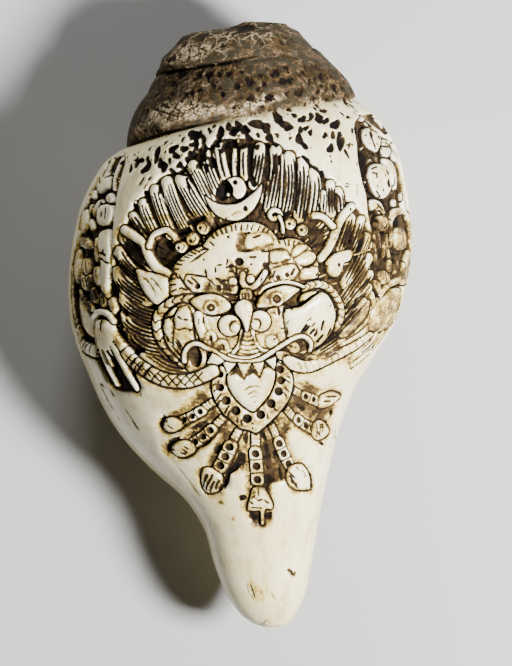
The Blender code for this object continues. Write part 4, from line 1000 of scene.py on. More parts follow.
BUD_PITS = (
    (266, 451, 3.0, 10, 0), (269, 478, 3.2, 4.5, 0), (242, 497, 3.2, 3.2, 20),
    (252.5, 515.5, 4.2, 2.8, -20), (267.5, 515.5, 4.2, 2.8, 20), (161, 421, 2.2, 6.5, 10),
    (167.5, 445, 2.6, 6, 25), (281, 473, 2.2, 6, -10), (216, 448, 5, 2.5, -55), (276, 455, 2.4, 6, -15),
    (197, 424, 7, 2.0, -28), (205, 442, 6, 1.8, -32), (302, 407, 7, 2.0, 22), (332, 412, 5, 2.2, -30),
    (322, 443, 5, 2, 10), (245, 437, 2.5, 6, 10), (264, 436, 2.2, 5, -10), (171.5, 441.5, 5.5, 2.8, -35),
    (162, 421, 2.6, 5.5, 10), (168.5, 447, 2.2, 4.5, 0),
)
for x, v, wide, high, tilt in BUD_PITS:
    pit(x, v, wide, high, tilt, depth=0.7, soot=0.85, seed=x, rough=0.15)
BUD_SHADOWS = (
    [
        238, 451, 244, 452, 243, 462, 237, 469, 230, 473, 228, 482, 224, 488, 222, 480, 224, 471, 231, 464,
        236, 458,
    ],
    [263, 441, 269, 443, 270, 458, 267, 466, 263, 462],
    [264, 473, 270, 475, 277, 480, 270, 483, 268, 488, 264, 484],
    [308, 468, 312, 474, 313.5, 486, 310, 487, 310, 478],
    [168, 441, 173, 437, 180, 436, 173, 441, 170, 450, 174, 456, 168, 452],
    [160, 417, 164, 417, 162, 424, 163, 429, 160, 427], [248, 512, 256, 513, 257, 519, 252, 519.5],
    [264, 512, 272, 511, 270, 519, 265, 518],
)
for dark in BUD_SHADOWS:
    field(dark, -1.3, 1.6, soot=0.85)
print("deep places cut")

# %% [markdown]
# ## Mouth, collar and tongue
# One thin lip runs from the hollow at one corner of the mouth to the hollow at the other. The jaws
# hold a heart-shaped tongue inside a drilled collar, and the snake comes out behind the corners.

# %% Lip and the hollows at its ends
field([207, 357, 225, 362, 268, 360, 280, 352, 297, 357, 285, 372, 215, 374], -1.5, 2.0, soot=0.45)
drawing.rope(rolled([195, 351, 195, 363]), 20, -0.35, 0.3, (2.2, 0.8), 0.9)
pit(195.3, 357, 5.8, 9.8, -4, depth=1.5, soot=0.5, seed=2, rough=0.04)
cuts([[190.5, 351, 194, 346.8, 198, 348.5, 200.5, 355, 200.5, 362]], 2.2, 0.4, 1.0)
boss(302, 344, 19, -0.4, 0.4, (1.6, 0.6), 0.8)
pit(301.5, 344.5, 7.2, 7.2, 0, depth=1.4, soot=0.45, seed=3, rough=0.04)
cuts([[296, 339, 302, 337.5, 307, 341, 308.3, 346, 306, 350.5]], 2.2, 0.4, 1.0)
form(
    [286, 344, 293, 341.5, 298, 344, 300, 350, 295, 353, 289, 350], level=-0.6, crown=0.45, rim=4,
    moat=(1.4, 0.4), soot=0.6, stain=0.45,
)
cuts([[288, 345, 292, 347, 297, 346.5]], 1.4, 0.3, 0.8)
LIP = [
    185, 361, 185, 354, 188, 347.5, 193, 344, 200, 344, 206, 347.5, 213, 350.5, 221, 355, 229, 359,
    240, 361.5, 252, 361.5, 261, 358.5, 269, 353.5, 277, 348.5, 286, 342.5, 294, 338, 301, 336, 307, 338.5,
    310.5, 344, 309.5, 350,
]
rope(LIP, 4.4, 0.0, 0.8, (1.8, 0.7), 0.85)
rope([229, 354.5, 238, 357, 249, 357.5, 259, 354], 2.4, -0.1, 0.6, (1.3, 0.5), 0.85)
print("lip done")

# %% Collar and tongue
COLLAR = [
    217, 368, 213, 376, 211.5, 385, 213, 395, 217, 404, 223, 413, 231, 420, 240, 427, 250, 430, 256, 432,
    262, 428, 270, 421, 279, 412, 287, 402, 291, 393, 293, 382, 291, 373, 286, 365, 279, 360, 275, 368,
    276, 377, 273, 388, 268, 397, 261, 405, 254, 412, 246, 409, 237, 402, 230, 393, 226.5, 383, 226, 373,
    222, 366,
]
TONGUE = [
    227.5, 373, 227, 383, 231, 392, 237, 400, 245, 407, 253, 411, 260, 405, 267, 397, 272, 388, 275, 377,
    274, 369, 266, 366, 258, 364, 251, 364, 243, 365, 234, 368,
]
form(COLLAR, level=-0.3, crown=0.7, rim=4.5, moat=(2.8, 1.1), soot=0.95, stain=0.6)
form(TONGUE, level=-0.4, crown=1.2, rim=9, moat=(2.2, 1.1), soot=0.9)
cuts([
    [244.5, 390.5, 249, 386.5, 256, 385.5, 262, 388], [248.5, 394, 254, 391, 260, 393],
    [250, 398.5, 254, 395.5, 259, 397.5], [254, 401.5, 258, 400],
], 1.9, 0.4, 0.5)
print("collar and tongue done")

# %% Teeth and fangs
TEETH_GAPS = (
    [236, 364.5, 231, 371, 229, 376, 236, 374, 243, 379], [251, 365, 247.5, 376, 253, 373, 258.5, 377],
    [264, 363, 262, 369, 268, 368, 273.5, 370],
)
for gap in TEETH_GAPS:
    field(gap, -0.75, 2.0, soot=0.45)
TEETH = (
    [222, 361, 236, 363, 231, 369, 227.5, 374], [237, 362.5, 251, 363, 247, 372, 244.5, 378.5],
    [252, 363, 264, 361.5, 262, 370, 259.5, 377], [265, 360.5, 276, 356, 276, 364, 274, 369.5],
)
for tooth in TEETH:
    drawing.form(rolled(tooth), level=-0.1, crown=0.5, rim=3, moat=(1.5, 0.8), soot=0.95)
drawing.form(
    rolled([212, 352, 218, 355, 223.5, 361.5, 214, 365.5, 204, 368.5, 208, 360]), level=-0.3, crown=0.75,
    rim=4, moat=(1.8, 0.9), soot=0.9,
)
form(
    [276, 352, 285, 351, 293, 356, 301, 361, 294, 363, 284, 361, 278, 358], level=-0.3, crown=0.75, rim=4,
    moat=(1.8, 0.8), soot=0.8,
)
COLLAR_HOLES = (
    (220, 374, 3.3), (220, 387, 3.8), (226, 400, 4.3), (235.5, 410, 4.4), (247, 418, 4.4),
    (260.5, 414, 4.4), (271, 403, 4.4), (278.5, 391, 4.3), (281, 380, 4.0), (280, 369, 3.9),
)
for x, v, radius in COLLAR_HOLES:
    drill(x, v, radius, -1.5, 0.8, rim=0.75)
COLLAR_NICKS = [
    [213.5, 385, 219.5, 381], [217, 399.5, 221.5, 393.5], [218, 404, 220.5, 400], [225, 412.5, 229, 405.5],
    [228, 415.5, 230, 410.5], [237.5, 418, 237.5, 422], [241.5, 420, 242, 425.5],
    [267.5, 413.5, 267.5, 418], [273, 406, 276, 410.5], [287.5, 376, 290, 378], [284, 378.5, 289.5, 382.5],
    [285, 387, 288.5, 391], [283, 392, 286.5, 396], [278.5, 362, 284, 365], [214, 391, 218, 388],
]
cuts(COLLAR_NICKS, 1.9, 0.45, 0.9)
drill(252.5, 423, 1.0, -0.2)
drill(252.5, 427.5, 1.1, -0.3)
print("teeth and collar holes done")

# %% [markdown]
# ## The snake
# Its body is one round rope with cuts across it, from the hand on the left into the jaws and out
# to the right. The cuts on the left cross each other, and on the right they slant one way.

# %% The snake
SNAKE_LEFT = [124, 352, 133, 361, 144, 369, 157, 376.5, 170, 380.5, 184, 381, 197, 378, 212, 371]
SNAKE_RIGHT = [287, 360, 296, 364.5, 306, 366.5, 317, 364, 330, 358, 345, 351, 358, 344, 370, 335, 378, 326]
SNAKE_RIGHT_WIDTHS = [
    9, 11, 12.5, 13, 13, 12.5, 12, 11.5, 11, 11, 11, 10.5, 10.5, 10, 10, 10, 10, 10, 9.5, 9.5, 9.5, 9, 9, 9,
    9, 8.5, 8, 8, 8, 7.5, 7, 6.5, 6,
]


def snake_v(body, x):
    """v of the snake's body where it passes under x."""
    return float(np.interp(x, *pairs(body).T))


rope(SNAKE_LEFT, 12.5, -0.5, 0.85, (2.6, 1.0), 0.95)
for x in np.arange(130, 206, 8.6):
    v = snake_v(SNAKE_LEFT, x)
    cuts([[x - 4.5, v - 5, x + 4.5, v + 5], [x + 4.5, v - 5.5, x - 4.5, v + 5]], 1.5, 0.35, 0.8)
for x in (134, 141, 148):
    v = snake_v(SNAKE_LEFT, x)
    cuts([[x + 2.5, v - 4, x - 2.5, v + 3.5]], 2.6, 0.5, 1.0)
rope(SNAKE_RIGHT, SNAKE_RIGHT_WIDTHS, -0.5, 0.85, (2.4, 0.9), 0.9)
for x in np.arange(300, 372, 6.2):
    v = snake_v(SNAKE_RIGHT, x)
    cuts([[x - 2.5, v - 4.5, x + 1.5, v + 5]], 1.3, 0.28, 0.6)
rope(
    [96, 353, 88, 347, 80, 338, 73, 324, 70, 306, 69, 285, 72, 268], 9, -0.5, 0.9, (2.2, 0.8), 0.85,
    ribs=(6.0, 0.7, 0.22),
)
print("snake done")

# %% [markdown]
# ## The hands and the small figures at the sides
# On the left a hand with a ring round its wrist grips the snake, and worn little figures climb
# above it. On the right three figures look out one above the other. Both groups run on round the
# sides, where the drawing from above shows them nearly edge on.

# %% The left arm and hand
forms((
    [
        100, 233, 104, 230, 110, 230.5, 111, 240, 111, 262, 110, 280, 109, 290, 110, 298, 104, 300,
        101, 292, 101, 278, 100, 262, 98, 250, 98, 240,
    ],
    [94, 268, 99, 268, 99.6, 278, 100, 287, 96, 285, 94, 280],
), level=-0.55, crown=0.8, rim=5, moat=(2.0, 0.8), soot=0.9)
cuts([[112, 266, 112, 280, 113.5, 292, 117.5, 302, 119, 314, 121, 327, 127, 340]], 5, 0.7, 0.6)
ground([109.5, 284, 118, 287, 119, 300, 112, 298], -1.5, 2, soot=0.8)
cuts([
    [99.5, 253.5, 104, 254, 107, 256.8], [103, 253.5, 104.5, 251.5], [97, 257.3, 101, 259, 105, 261.3],
    [97, 261, 99.5, 262.5, 102, 264], [105, 262, 109, 263.6],
], 2.1, 0.5, 1.0)
cuts([[100.4, 267, 100.8, 278, 101, 290], [92.5, 249, 92.5, 262, 92, 274, 92, 286]], 2.6, 0.7, 1.0)
HAND = [
    96, 322, 99, 319.5, 104, 319, 110, 321, 114, 326, 117, 333, 121, 339, 125, 346, 122, 351, 115, 354,
    108, 357, 100, 352, 96, 345, 95, 335,
]
form(HAND, level=-0.5, crown=1.1, rim=9, moat=(2.2, 0.9), soot=0.95)
FINGERS = (
    ([99, 342, 103.5, 357, 109.5, 371, 117, 385], 6.0, 3.2), ([104, 346, 108.5, 357, 112.5, 366], 4.6, 2.6),
    ([109, 346, 113.5, 356, 118, 363.5], 4.6, 2.6),
    ([112, 341, 118.5, 356, 126.5, 372, 137, 389], 8.6, 4.6),
)
for finger, root, tip in FINGERS:
    path = line(finger)
    drawing.rope(path, np.linspace(root, tip, len(path)), -0.5, 0.8, (1.8, 0.8), 0.9)
form(
    [99, 334, 108, 332, 115, 337, 118, 343, 115, 348, 108, 350, 101, 348, 98.5, 342], level=0.42,
    crown=0.16, rim=6, moat=(0.5, 0.0), soot=0.0, stain=0.2,
)
rope([93.5, 322, 94.5, 315, 99, 312, 104, 312.5, 109, 315.5, 113.5, 321], 6.5, -0.35, 0.8, (1.8, 0.8), 0.95)
cuts([
    [95, 323, 98, 318.8, 103, 318.2, 108, 320, 112.5, 323.5], [102.7, 320, 103, 330], [108, 352, 115, 366],
    [99, 350, 101, 360], [112, 355, 118, 364],
], 1.9, 0.5, 0.95)
ground([113, 367, 118, 365, 125, 377, 128, 387, 119, 381], -1.3, 1.6, soot=0.85)
for x, v in ((115, 342), (117, 344.5), (115.5, 341), (112, 347)):
    drill(x, v, 0.9, -0.2)
print("hand done")

# %% The left figures, from the wrist up
LEFT_LEAVES = (
    [91, 289, 93, 287, 96, 292, 98, 299, 97, 304, 92, 302, 90, 296],
    [86, 302, 89, 301, 94, 308, 94, 313, 89, 311, 86.5, 306],
    [100, 293, 104, 294, 107, 300, 107, 305, 102, 308, 100, 303],
    [108, 301, 112, 297, 116, 300, 117, 308, 115, 315, 111, 311, 108, 306],
    [81, 274, 88, 272, 91, 280, 88, 291, 82, 288],
    [82, 260, 86, 258, 89, 260, 90.5, 268, 88, 275, 84, 274, 81, 268],
    [83, 248, 85, 241, 88, 240.5, 91, 246, 91.5, 250, 87, 250],
    [80, 238, 83, 236.5, 86, 239, 84, 245, 81, 248, 79.5, 243],
    [90, 218, 92, 222, 93.5, 228, 92, 232, 89.5, 229, 89, 223],
    [91, 192, 94, 190.5, 95, 195, 94, 200, 91, 199],
)
LEFT_STRIPS = (
    [79, 296, 84, 298, 85, 308, 89, 316, 94, 322, 95, 332, 93, 338, 86, 333, 81, 324, 79, 310],
    [74, 252, 79, 250, 79.5, 262, 79, 276, 75, 284, 73, 268],
    [81, 214, 84, 209, 86, 213, 86.5, 222, 84.5, 231, 81, 234, 78.5, 228, 79, 220],
    [94, 240, 97, 238, 98, 246, 98, 254, 95.5, 263, 93.5, 254],
    [95, 204, 99, 200, 102, 202.5, 99, 208, 96, 213, 93.5, 218, 91.5, 212],
)
# The stain on these leaves and strips is partly the brown of the shell here and partly painted shade for the
# left side, which turns away from the light.
forms(LEFT_LEAVES, level=-0.8, crown=0.9, rim=3.5, moat=(1.8, 0.7), soot=0.95, stain=0.55)
forms(LEFT_STRIPS, level=-0.85, crown=0.75, rim=5, moat=(2.0, 0.8), soot=0.95, stain=0.7)
forms((
    [99, 207, 104, 205, 110, 204.5, 113.5, 208, 114, 215, 112, 222, 109, 226, 102, 227, 98, 224, 97, 217],
    [106, 199, 108, 195, 111, 193.5, 114, 197, 114.5, 202, 112, 204.5, 107.5, 203],
    [99, 181, 103, 176, 109, 177, 109.5, 184, 108, 190, 103, 193.5, 99, 195, 97, 190, 96.5, 185],
), level=-0.55, crown=1.0, rim=5, moat=(2.2, 0.9), soot=1.0)
boss(107.5, 175.5, 5, -0.1, 0.4, (1.4, 0.4), 0.9)
LEFT_LIMBS = (
    ([70, 268, 69, 280, 70, 295, 72, 310, 73, 326], 6), ([108, 160, 104, 168, 99, 177], 3),
    ([112.5, 160, 107.5, 170, 104.5, 176], 3), ([122, 159, 117, 170, 114, 181, 114, 191], 3.6),
    ([88, 197, 85, 206, 81, 213], 3), ([90.5, 206, 89, 220], 2.6), ([79, 232, 76.5, 244, 75, 254], 3.4),
    ([79, 284, 80, 292, 82, 298], 3),
)
for path, width in LEFT_LIMBS:
    rope(path, width, -0.75, 0.8, (1.6, 0.7), 0.9)
rope([75, 331, 79, 340, 85, 347.5, 93, 351], 13, -0.6, 0.8, (2.2, 0.8), 0.95)
cuts([
    [74, 338, 79, 333], [77, 343, 82, 336], [81, 347.5, 86, 339.5], [85, 351, 89, 341],
    [89.5, 353, 92, 343], [83, 337, 87, 341], [76, 332, 79, 336],
], 1.7, 0.45, 0.95)
LEFT_SLOTS = [
    [114, 165, 111.5, 175, 110.8, 184, 111.5, 193], [121.5, 165, 119, 178, 118, 191],
    [96.5, 197, 103, 195, 108, 191], [101, 206, 97, 212, 94.5, 220, 97, 227.5, 101.5, 230, 108, 227.5],
    [93, 203, 90.5, 213, 88, 225, 86, 234], [81, 262, 80, 275, 79.5, 290],
    [75, 285, 77, 300, 77.5, 318, 83, 332, 91, 339],
]
cuts(LEFT_SLOTS, 4.0, 0.8, 1.0)
LEFT_NICKS = [
    [107.5, 207, 107, 213, 106.3, 220], [92, 293, 94, 300], [94, 290.5, 97, 299], [88, 303.5, 91.5, 309],
    [103, 295.5, 105, 303], [101.6, 297, 102, 306], [107, 299, 110, 308], [83, 278, 85, 287],
    [85, 276, 87.5, 286], [87, 283, 89, 278], [98, 183.5, 97.2, 189], [101, 180.5, 101.5, 183.5],
    [86, 262, 87, 272], [70.5, 274, 71, 284], [70, 292, 71, 297], [74, 314, 75, 327],
    [104, 200.5, 107, 203],
]
cuts(LEFT_NICKS, 1.8, 0.5, 1.0)
LEFT_PITS = (
    (86.5, 253.5, 5, 4.2), (86, 297, 3, 3.6), (85, 235.5, 4, 3.4), (88, 238, 2.5, 2.5),
    (99.5, 188.5, 1.3, 1.3), (99.5, 193, 1.6, 1.4), (108, 177, 1.4, 1.2), (113, 205, 1.3, 1.4),
    (103, 215, 1.4, 3), (97.5, 254, 0.8, 3), (100, 203, 1.6, 2), (76, 309, 1.4, 5),
)
for x, v, wide, high in LEFT_PITS:
    pit(x, v, wide, high, 0, depth=0.5, soot=0.9, seed=x, rough=0.2)
# Amber over all the left figures: stain, and painted shade for the left side, which turns away from the
# light.
wash([
    125, 158, 118, 190, 113, 205, 99, 203, 98, 232, 99, 262, 98, 290, 92, 312, 78, 330, 70, 300, 70, 262,
    75, 232, 83, 202, 92, 180, 108, 162,
], 0.8)
print("left figures done")

# %% The right figures
RIGHT_SHADOWS = (
    [357, 154, 368, 154, 370, 163, 368, 172, 367, 181, 364, 179, 360, 165],
    [355, 124, 361, 126, 361, 141, 357, 143, 355, 135],
    [378, 134, 383, 138, 384, 158, 377, 160, 381, 150, 380, 140],
    [392, 216, 402, 215, 404, 226, 399, 226, 393, 234, 391, 226], [384, 201, 390, 200, 389, 213, 385, 212],
)
for dark in RIGHT_SHADOWS:
    field(dark, -1.6, 2.0, soot=0.85)
RIGHT_HEADS = (
    [
        363, 133, 366, 129.5, 371, 128.5, 377, 132, 380, 137, 380.5, 144, 377, 153, 374, 152, 368, 148.5,
        364, 142,
    ],
    [
        369, 172, 372, 166.5, 378, 164.5, 384, 166, 388.5, 170, 390, 178, 391, 187, 389, 194, 384, 199.5,
        379, 198.5, 373, 193, 370, 186, 368.5, 178,
    ],
    [370, 201, 376, 200.5, 381, 204, 384, 211, 384.5, 217, 380, 216, 376, 210, 371, 212, 369.5, 206],
    [377, 218, 383, 216, 387, 220, 388, 228, 383, 232.5, 377, 229, 375.5, 222],
    [396, 230, 400, 226.5, 404, 230, 405.5, 238, 405, 248, 400, 251, 396, 248, 394.5, 240],
)
RIGHT_STRIPS = (
    [384, 147, 389, 147, 391, 152, 389, 158, 385, 158, 383, 153],
    [384, 140, 389, 138.5, 391, 143, 388, 147, 384, 146],
    [384, 159, 391, 161, 395, 168, 397, 180, 396, 191, 392, 182, 388, 170, 383, 163],
    [394, 151, 398, 152, 400, 158, 399, 163, 395, 161, 393, 156],
    [393, 201, 396, 200, 397, 205, 395, 208, 392.5, 206],
    [391, 221, 391.5, 213, 395, 209, 402, 208.5, 403.5, 214, 399, 216, 395, 219, 393, 223],
    [388, 262, 391, 260, 392, 268, 391, 273, 388, 270], [394, 266, 397, 260, 400, 264, 398, 272, 395, 274],
    [379, 272, 385, 271, 389, 275, 390, 282, 384, 285, 379, 280],
    [374, 281, 379, 281, 381, 288, 379, 296, 376, 290],
    [403, 268, 407, 255, 410, 250, 412, 258, 411, 272, 407, 283, 402, 285, 400, 278],
    [402, 192, 405, 196, 407, 206, 406, 214, 403, 208, 401, 200],
)
forms(RIGHT_HEADS, level=-0.65, crown=1.05, rim=5, moat=(2.2, 0.9), soot=1.0, stain=0.35)
forms(RIGHT_STRIPS, level=-0.8, crown=0.9, rim=4, moat=(1.8, 0.7), soot=0.9, stain=0.7)
RIGHT_LIMBS = (
    ([362, 119, 371, 127, 379, 132, 386, 138], 4.6), ([381, 117, 387, 127, 392, 136], 4),
    ([391, 222, 391.5, 235, 391, 247], 3), ([377.5, 232, 379, 240, 380, 248], 3.6),
    ([383.5, 242, 384, 250, 383.5, 257], 3.4), ([406, 212, 409.5, 225, 410, 242], 4),
    ([398, 281, 390, 285, 383, 292, 378, 301], 7), ([386, 234, 387, 246, 389, 257], 3.4),
    ([374, 236, 375, 250, 376, 264], 3.6), ([389, 301, 394, 297.5, 398, 291], 2.6),
    ([391, 118, 396, 128, 400, 140, 403, 152], 4.4),
)
for path, width in RIGHT_LIMBS:
    rope(path, width, -0.75, 0.9, (1.7, 0.7), 0.9)
RIGHT_SLOTS = [
    [396.5, 164.5, 399.5, 168, 401, 174], [399, 170, 399.5, 178, 401, 186, 400.5, 198, 399.5, 206],
    [373, 285, 376, 291, 378.5, 297, 379, 303], [373.5, 240, 376.5, 248, 380, 257, 378, 263, 384, 270],
    [381.5, 233, 382, 240, 381, 247], [388, 243, 390, 251, 392.5, 258], [391, 253, 397, 254, 404, 255],
    [367, 196, 370, 192, 374, 197], [404.5, 250, 404, 258, 402.5, 268], [398, 287, 391, 291, 385, 299],
    [378, 231, 383, 234, 388.5, 231], [370, 135, 372, 143, 375, 151],
]
cuts(RIGHT_SLOTS, 2.8, 0.7, 1.0)
RIGHT_NICKS = [
    [376, 205, 381, 211], [378, 211, 384, 218], [385.5, 224, 383, 230], [371, 174, 376, 174.6],
    [393, 257, 395, 264, 397, 258], [385, 273, 386, 283], [381, 282, 381, 287], [375, 192, 380, 198],
    [402, 236, 403, 245], [407, 209, 411, 220], [385, 143, 389, 146], [364, 121, 371, 128],
    [366, 126, 372, 131], [383, 124, 388, 134], [395, 266, 396.5, 272], [398, 264, 397, 270],
    [394, 178, 394, 190], [371, 170, 376, 167.5], [385, 172, 389, 176], [404, 200, 406, 208],
    [405, 262, 404, 278],
]
cuts(RIGHT_NICKS, 1.5, 0.4, 0.95)
RIGHT_PITS = (
    (387.5, 184, 3.8, 3.6), (375.5, 177, 1.5, 2), (382, 190.7, 2.2, 1.1), (376, 187, 1.1, 1.1),
    (373.5, 168.5, 1.1, 0.8), (370, 136.5, 3.6, 3.4), (370, 132, 1.4, 1.2), (378, 138, 2.6, 1.5),
    (376.5, 208.5, 1.1, 1.1), (374.5, 212, 1.5, 1.3), (376.5, 222, 1.7, 2.2), (396, 203.5, 1.2, 1.6),
    (401.5, 241, 0.9, 1.6), (384, 176, 1.2, 1.2), (364, 124, 1.8, 1.8), (365, 119.5, 1, 1),
    (399, 219, 2.6, 2.2), (398, 254, 4, 1.6), (389, 132, 1.4, 2.4), (395, 141, 1.3, 2.6), (398, 270, 1, 2),
    (374, 278, 2.2, 1.2),
)
for x, v, wide, high in RIGHT_PITS:
    pit(x, v, wide, high, 0, depth=0.6, soot=0.9, seed=x, rough=0.25)
wash([
    352, 118, 366, 106, 384, 112, 398, 130, 406, 160, 408, 200, 412, 240, 410, 275, 398, 292, 384, 300,
    375, 292, 373, 240, 367, 196, 360, 160,
], 0.9, 0.16)
print("right figures done")

# %% The smooth bulge on the right, and its grooves
form(
    [401, 289, 399, 304, 395, 318, 387, 329, 376, 332, 369, 329, 369, 320, 376, 304, 385, 297, 393, 289],
    level=-0.6, crown=0.9, rim=9, moat=(2.2, 0.9), soot=0.9, stain=0.4,
)
rope([383, 332, 377, 343, 368, 353, 352, 365], 5.5, -0.45, 0.65, (1.8, 0.6), 0.85)
rope([377, 332, 371, 342, 363, 350], 4, -0.45, 0.6, (1.6, 0.5), 0.85)
cuts([[386, 331, 380, 342, 371, 352], [380, 332, 373, 343, 364, 352]], 1.8, 0.5, 0.95)
cuts([[378, 344, 373, 350]], 4.0, 0.6, 1.1)
ground([344, 358, 351, 358, 354, 362, 349, 366, 343, 364], -0.4, 3.0, soot=0.3)
cuts([
    [398, 300, 396, 310, 391, 322], [378, 337, 375, 344, 370, 351],
    [355, 125, 360, 155, 366, 182, 371, 201], [398, 165, 402, 183, 402, 200, 400, 208],
    [372, 300, 371, 313, 366, 325, 354, 335, 340, 343],
], 2.0, 0.6, 0.85)
form(
    [305, 356, 313, 354.5, 322, 355, 331, 350.5, 340, 344, 337, 351, 327, 357, 315, 359], level=-1.1,
    crown=0.5, rim=4, moat=(1.4, 0.4), soot=0.7, stain=0.95,
)
# These washes darken the bulge, most on its outward right half: stain and dirt, and painted shade for a side
# that turns away from the light.
wash([401, 286, 399, 306, 395, 320, 385, 331, 372, 334, 372, 318, 380, 300, 392, 287], 0.9, 0.17)
wash([395, 292, 402, 292, 398, 318, 388, 330, 384, 326, 394, 310], 1.0, 0.28)
print("right side done")

# %% [markdown]
# ## Round the sides
# The view from above doesn't reach the flanks, so cloud scrolls carry the carving round to the
# plain margin near the lip, in the same cutting.

# %% Cloud scrolls on both flanks
def scroll(centre, radius, hand, turns=1.4, steps=22):
    t = np.linspace(0, 1, steps)
    angle = hand * 2 * math.pi * turns * t + 0.6
    reach = radius * (1 - 0.78 * t)
    return np.stack([centre[0] + reach * np.cos(angle), centre[1] + reach * np.sin(angle)], -1)


flank_scrolls = 0
for side, start, end in ((-1, 86, 122), (1, 84, 128)):
    for row, v in enumerate(range(212, 350, 34)):
        roll = float(front_radius(np.array([v], float))[0])
        for column, angle in enumerate((start + 12, start + 31)):
            if angle > end:
                continue
            centre = (side * math.radians(angle) * roll, v + 17 * (column % 2))
            drawing.ground(scroll(centre, 15, 1, 0.95, 14), -1.4, 4.0, 0.35, 1.0)
            hand = side if (row + column) % 2 else -side
            drawing.rope(scroll(centre, 11.5, hand), 5.5, -0.9, 0.95, (2.2, 0.6), 0.85)
            flank_scrolls += 1
print(flank_scrolls, "cloud scrolls on the flanks")

# %% [markdown]
# ## What borers, wear and dirt have done
# Boring sponges left dark pits all over the shoulder, the spire is crusted and eaten, and there
# are scratches and stains on the plain lower part. The pits with a place of their own in the view
# come one by one, and small ones are scattered between them from a fixed seed.

# %% Pits on the shoulder
SHOULDER_PITS = [
    (191, 136, 4, 4.5, 0), (199, 137, 3.6, 4, 0), (203.5, 142, 3, 4.5, 20), (195, 146, 4, 3.4, 0),
    (173, 150.5, 6, 3.4, -10), (184, 150.5, 4, 3.4, 0), (157, 156, 4.2, 6.5, 10), (160, 165, 3.4, 4, 0),
    (146.5, 169.5, 6.5, 4.2, -30), (137, 164, 4, 4.5, 0), (131, 170, 3, 3.4, 0), (176, 157.5, 4, 3, 0),
    (191, 157, 3.4, 5, 15), (202, 156, 4.6, 6.5, 10), (199, 167, 2.6, 4.6, 15), (206, 169.5, 2.8, 4, 0),
    (181, 173.5, 2.6, 2.8, 0), (219.5, 136, 3.4, 5.4, 0), (218, 143, 3, 3.6, 0), (229, 129, 4, 4, 0),
    (233.5, 134.5, 4.4, 3.6, 0), (238, 126, 4.4, 2.6, 10), (244, 133, 3.4, 3.6, 0), (248.5, 140, 4, 3, 0),
    (256, 126, 8.5, 3.6, 8), (265.5, 129.5, 5.4, 4.6, 0), (269.5, 140, 3.2, 4.6, 10), (278, 118, 4, 5, 0),
    (283, 125.5, 7, 3.6, 10), (289, 129.5, 4.6, 2.8, 0), (229, 145.5, 7, 4, 0), (240, 148, 6.5, 2.8, 0),
    (302, 121, 3.2, 3.8, 0), (300.5, 131.5, 2.8, 2.8, 0), (299, 141, 3.8, 5, 15),
    (304.5, 147.5, 4.6, 2.2, 40), (306, 130, 2.4, 2.6, 0), (310, 134.5, 2.6, 2.4, 0),
    (312.5, 118, 2.8, 3.6, 0), (319.5, 120, 4.4, 4.6, 0), (326, 122.5, 2.8, 3.6, 0),
    (325, 137, 2.8, 2.8, 0), (335.5, 126, 5, 5, 20), (333, 137, 3.2, 3.2, 0), (330.5, 150, 3.8, 4.4, 0),
    (340.5, 144.5, 4.2, 8, 14), (346.5, 155, 2, 5, -35), (339.5, 136.5, 3.6, 2.6, 0), (342, 115, 2, 1.8, 0),
    (348, 118.5, 2.2, 1.8, 0), (323.5, 112.5, 4, 1.8, 0), (362, 158, 3.4, 9, -14), (366, 172, 2.4, 9, -10),
    (150, 180, 1.4, 2.2, 30), (142, 183, 1.2, 4, 35), (209, 161, 1.8, 2.6, 0), (315, 110, 1.8, 1.6, 0),
    (352, 132, 1.6, 2.8, 0), (349, 147, 1.4, 3, 30), (330, 158, 1.1, 1.1, 0), (331, 163, 1.2, 1.2, 0),
    (357, 165, 1, 2.6, 0), (214, 128, 2, 2, 0), (209, 131, 1.6, 2, 0), (183, 141, 2, 2.4, 0),
    (166, 144, 1.8, 1.8, 0), (150, 150, 2, 2, 0), (148, 160, 2.4, 2.2, 0), (170, 162, 2, 2.6, 0),
    (212, 150, 3, 4, 0), (222, 152, 2.4, 3, 0), (258, 137, 2, 2.2, 0), (277, 137, 2.2, 2.2, 0),
    (290, 140, 1.8, 2, 0), (294, 117, 2.2, 2, 0), (288, 111, 2.4, 1.8, 0),
]
PIT_GROWTH = 1.12
for x, v, wide, high, tilt in SHOULDER_PITS:
    depth = 0.35 + 0.14 * min(wide, high)
    uneven_soot = 0.72 + 0.28 * ((7 * x + 13 * v) % 10) / 9
    pit(x, v, wide * PIT_GROWTH, high * PIT_GROWTH, tilt, depth, uneven_soot, x + v, 0.26)
cuts([
    [344, 187, 348.5, 188], [345, 185, 349, 185.8], [357, 185, 356.5, 192, 358, 199],
    [140, 196, 146, 187, 149, 183], [132, 200, 137, 202, 141, 199],
], 1.2, 0.3, 0.7)
EDGE_PITS = (
    (217, 146, 4, 3.4, 0), (231, 145.5, 7, 2.8, 4), (246, 147, 5.5, 2.6, 4), (257, 149, 3, 2.4, 0),
    (164, 168, 6, 4.4, 20), (141, 162, 5, 3, -10), (188, 160.5, 3.4, 4, 0), (204, 152, 3.6, 6, 15),
    (195, 137.5, 5.5, 5, 0), (180, 167, 3.4, 4, 10), (235, 132, 5, 5, 0), (222, 134, 3, 5, 0),
    (172, 173, 4, 3, 0), (212, 166, 3, 5, 15), (196, 151, 3, 3, 0), (246, 131, 4, 4, 0),
    (268, 147, 3.4, 2.6, 20), (275, 146, 2.4, 4, -30),
)
for x, v, wide, high, tilt in EDGE_PITS:
    pit(x, v, wide, high, tilt, depth=0.8, soot=0.9, seed=x + v, rough=0.3)
print(len(SHOULDER_PITS), "pits on the shoulder")

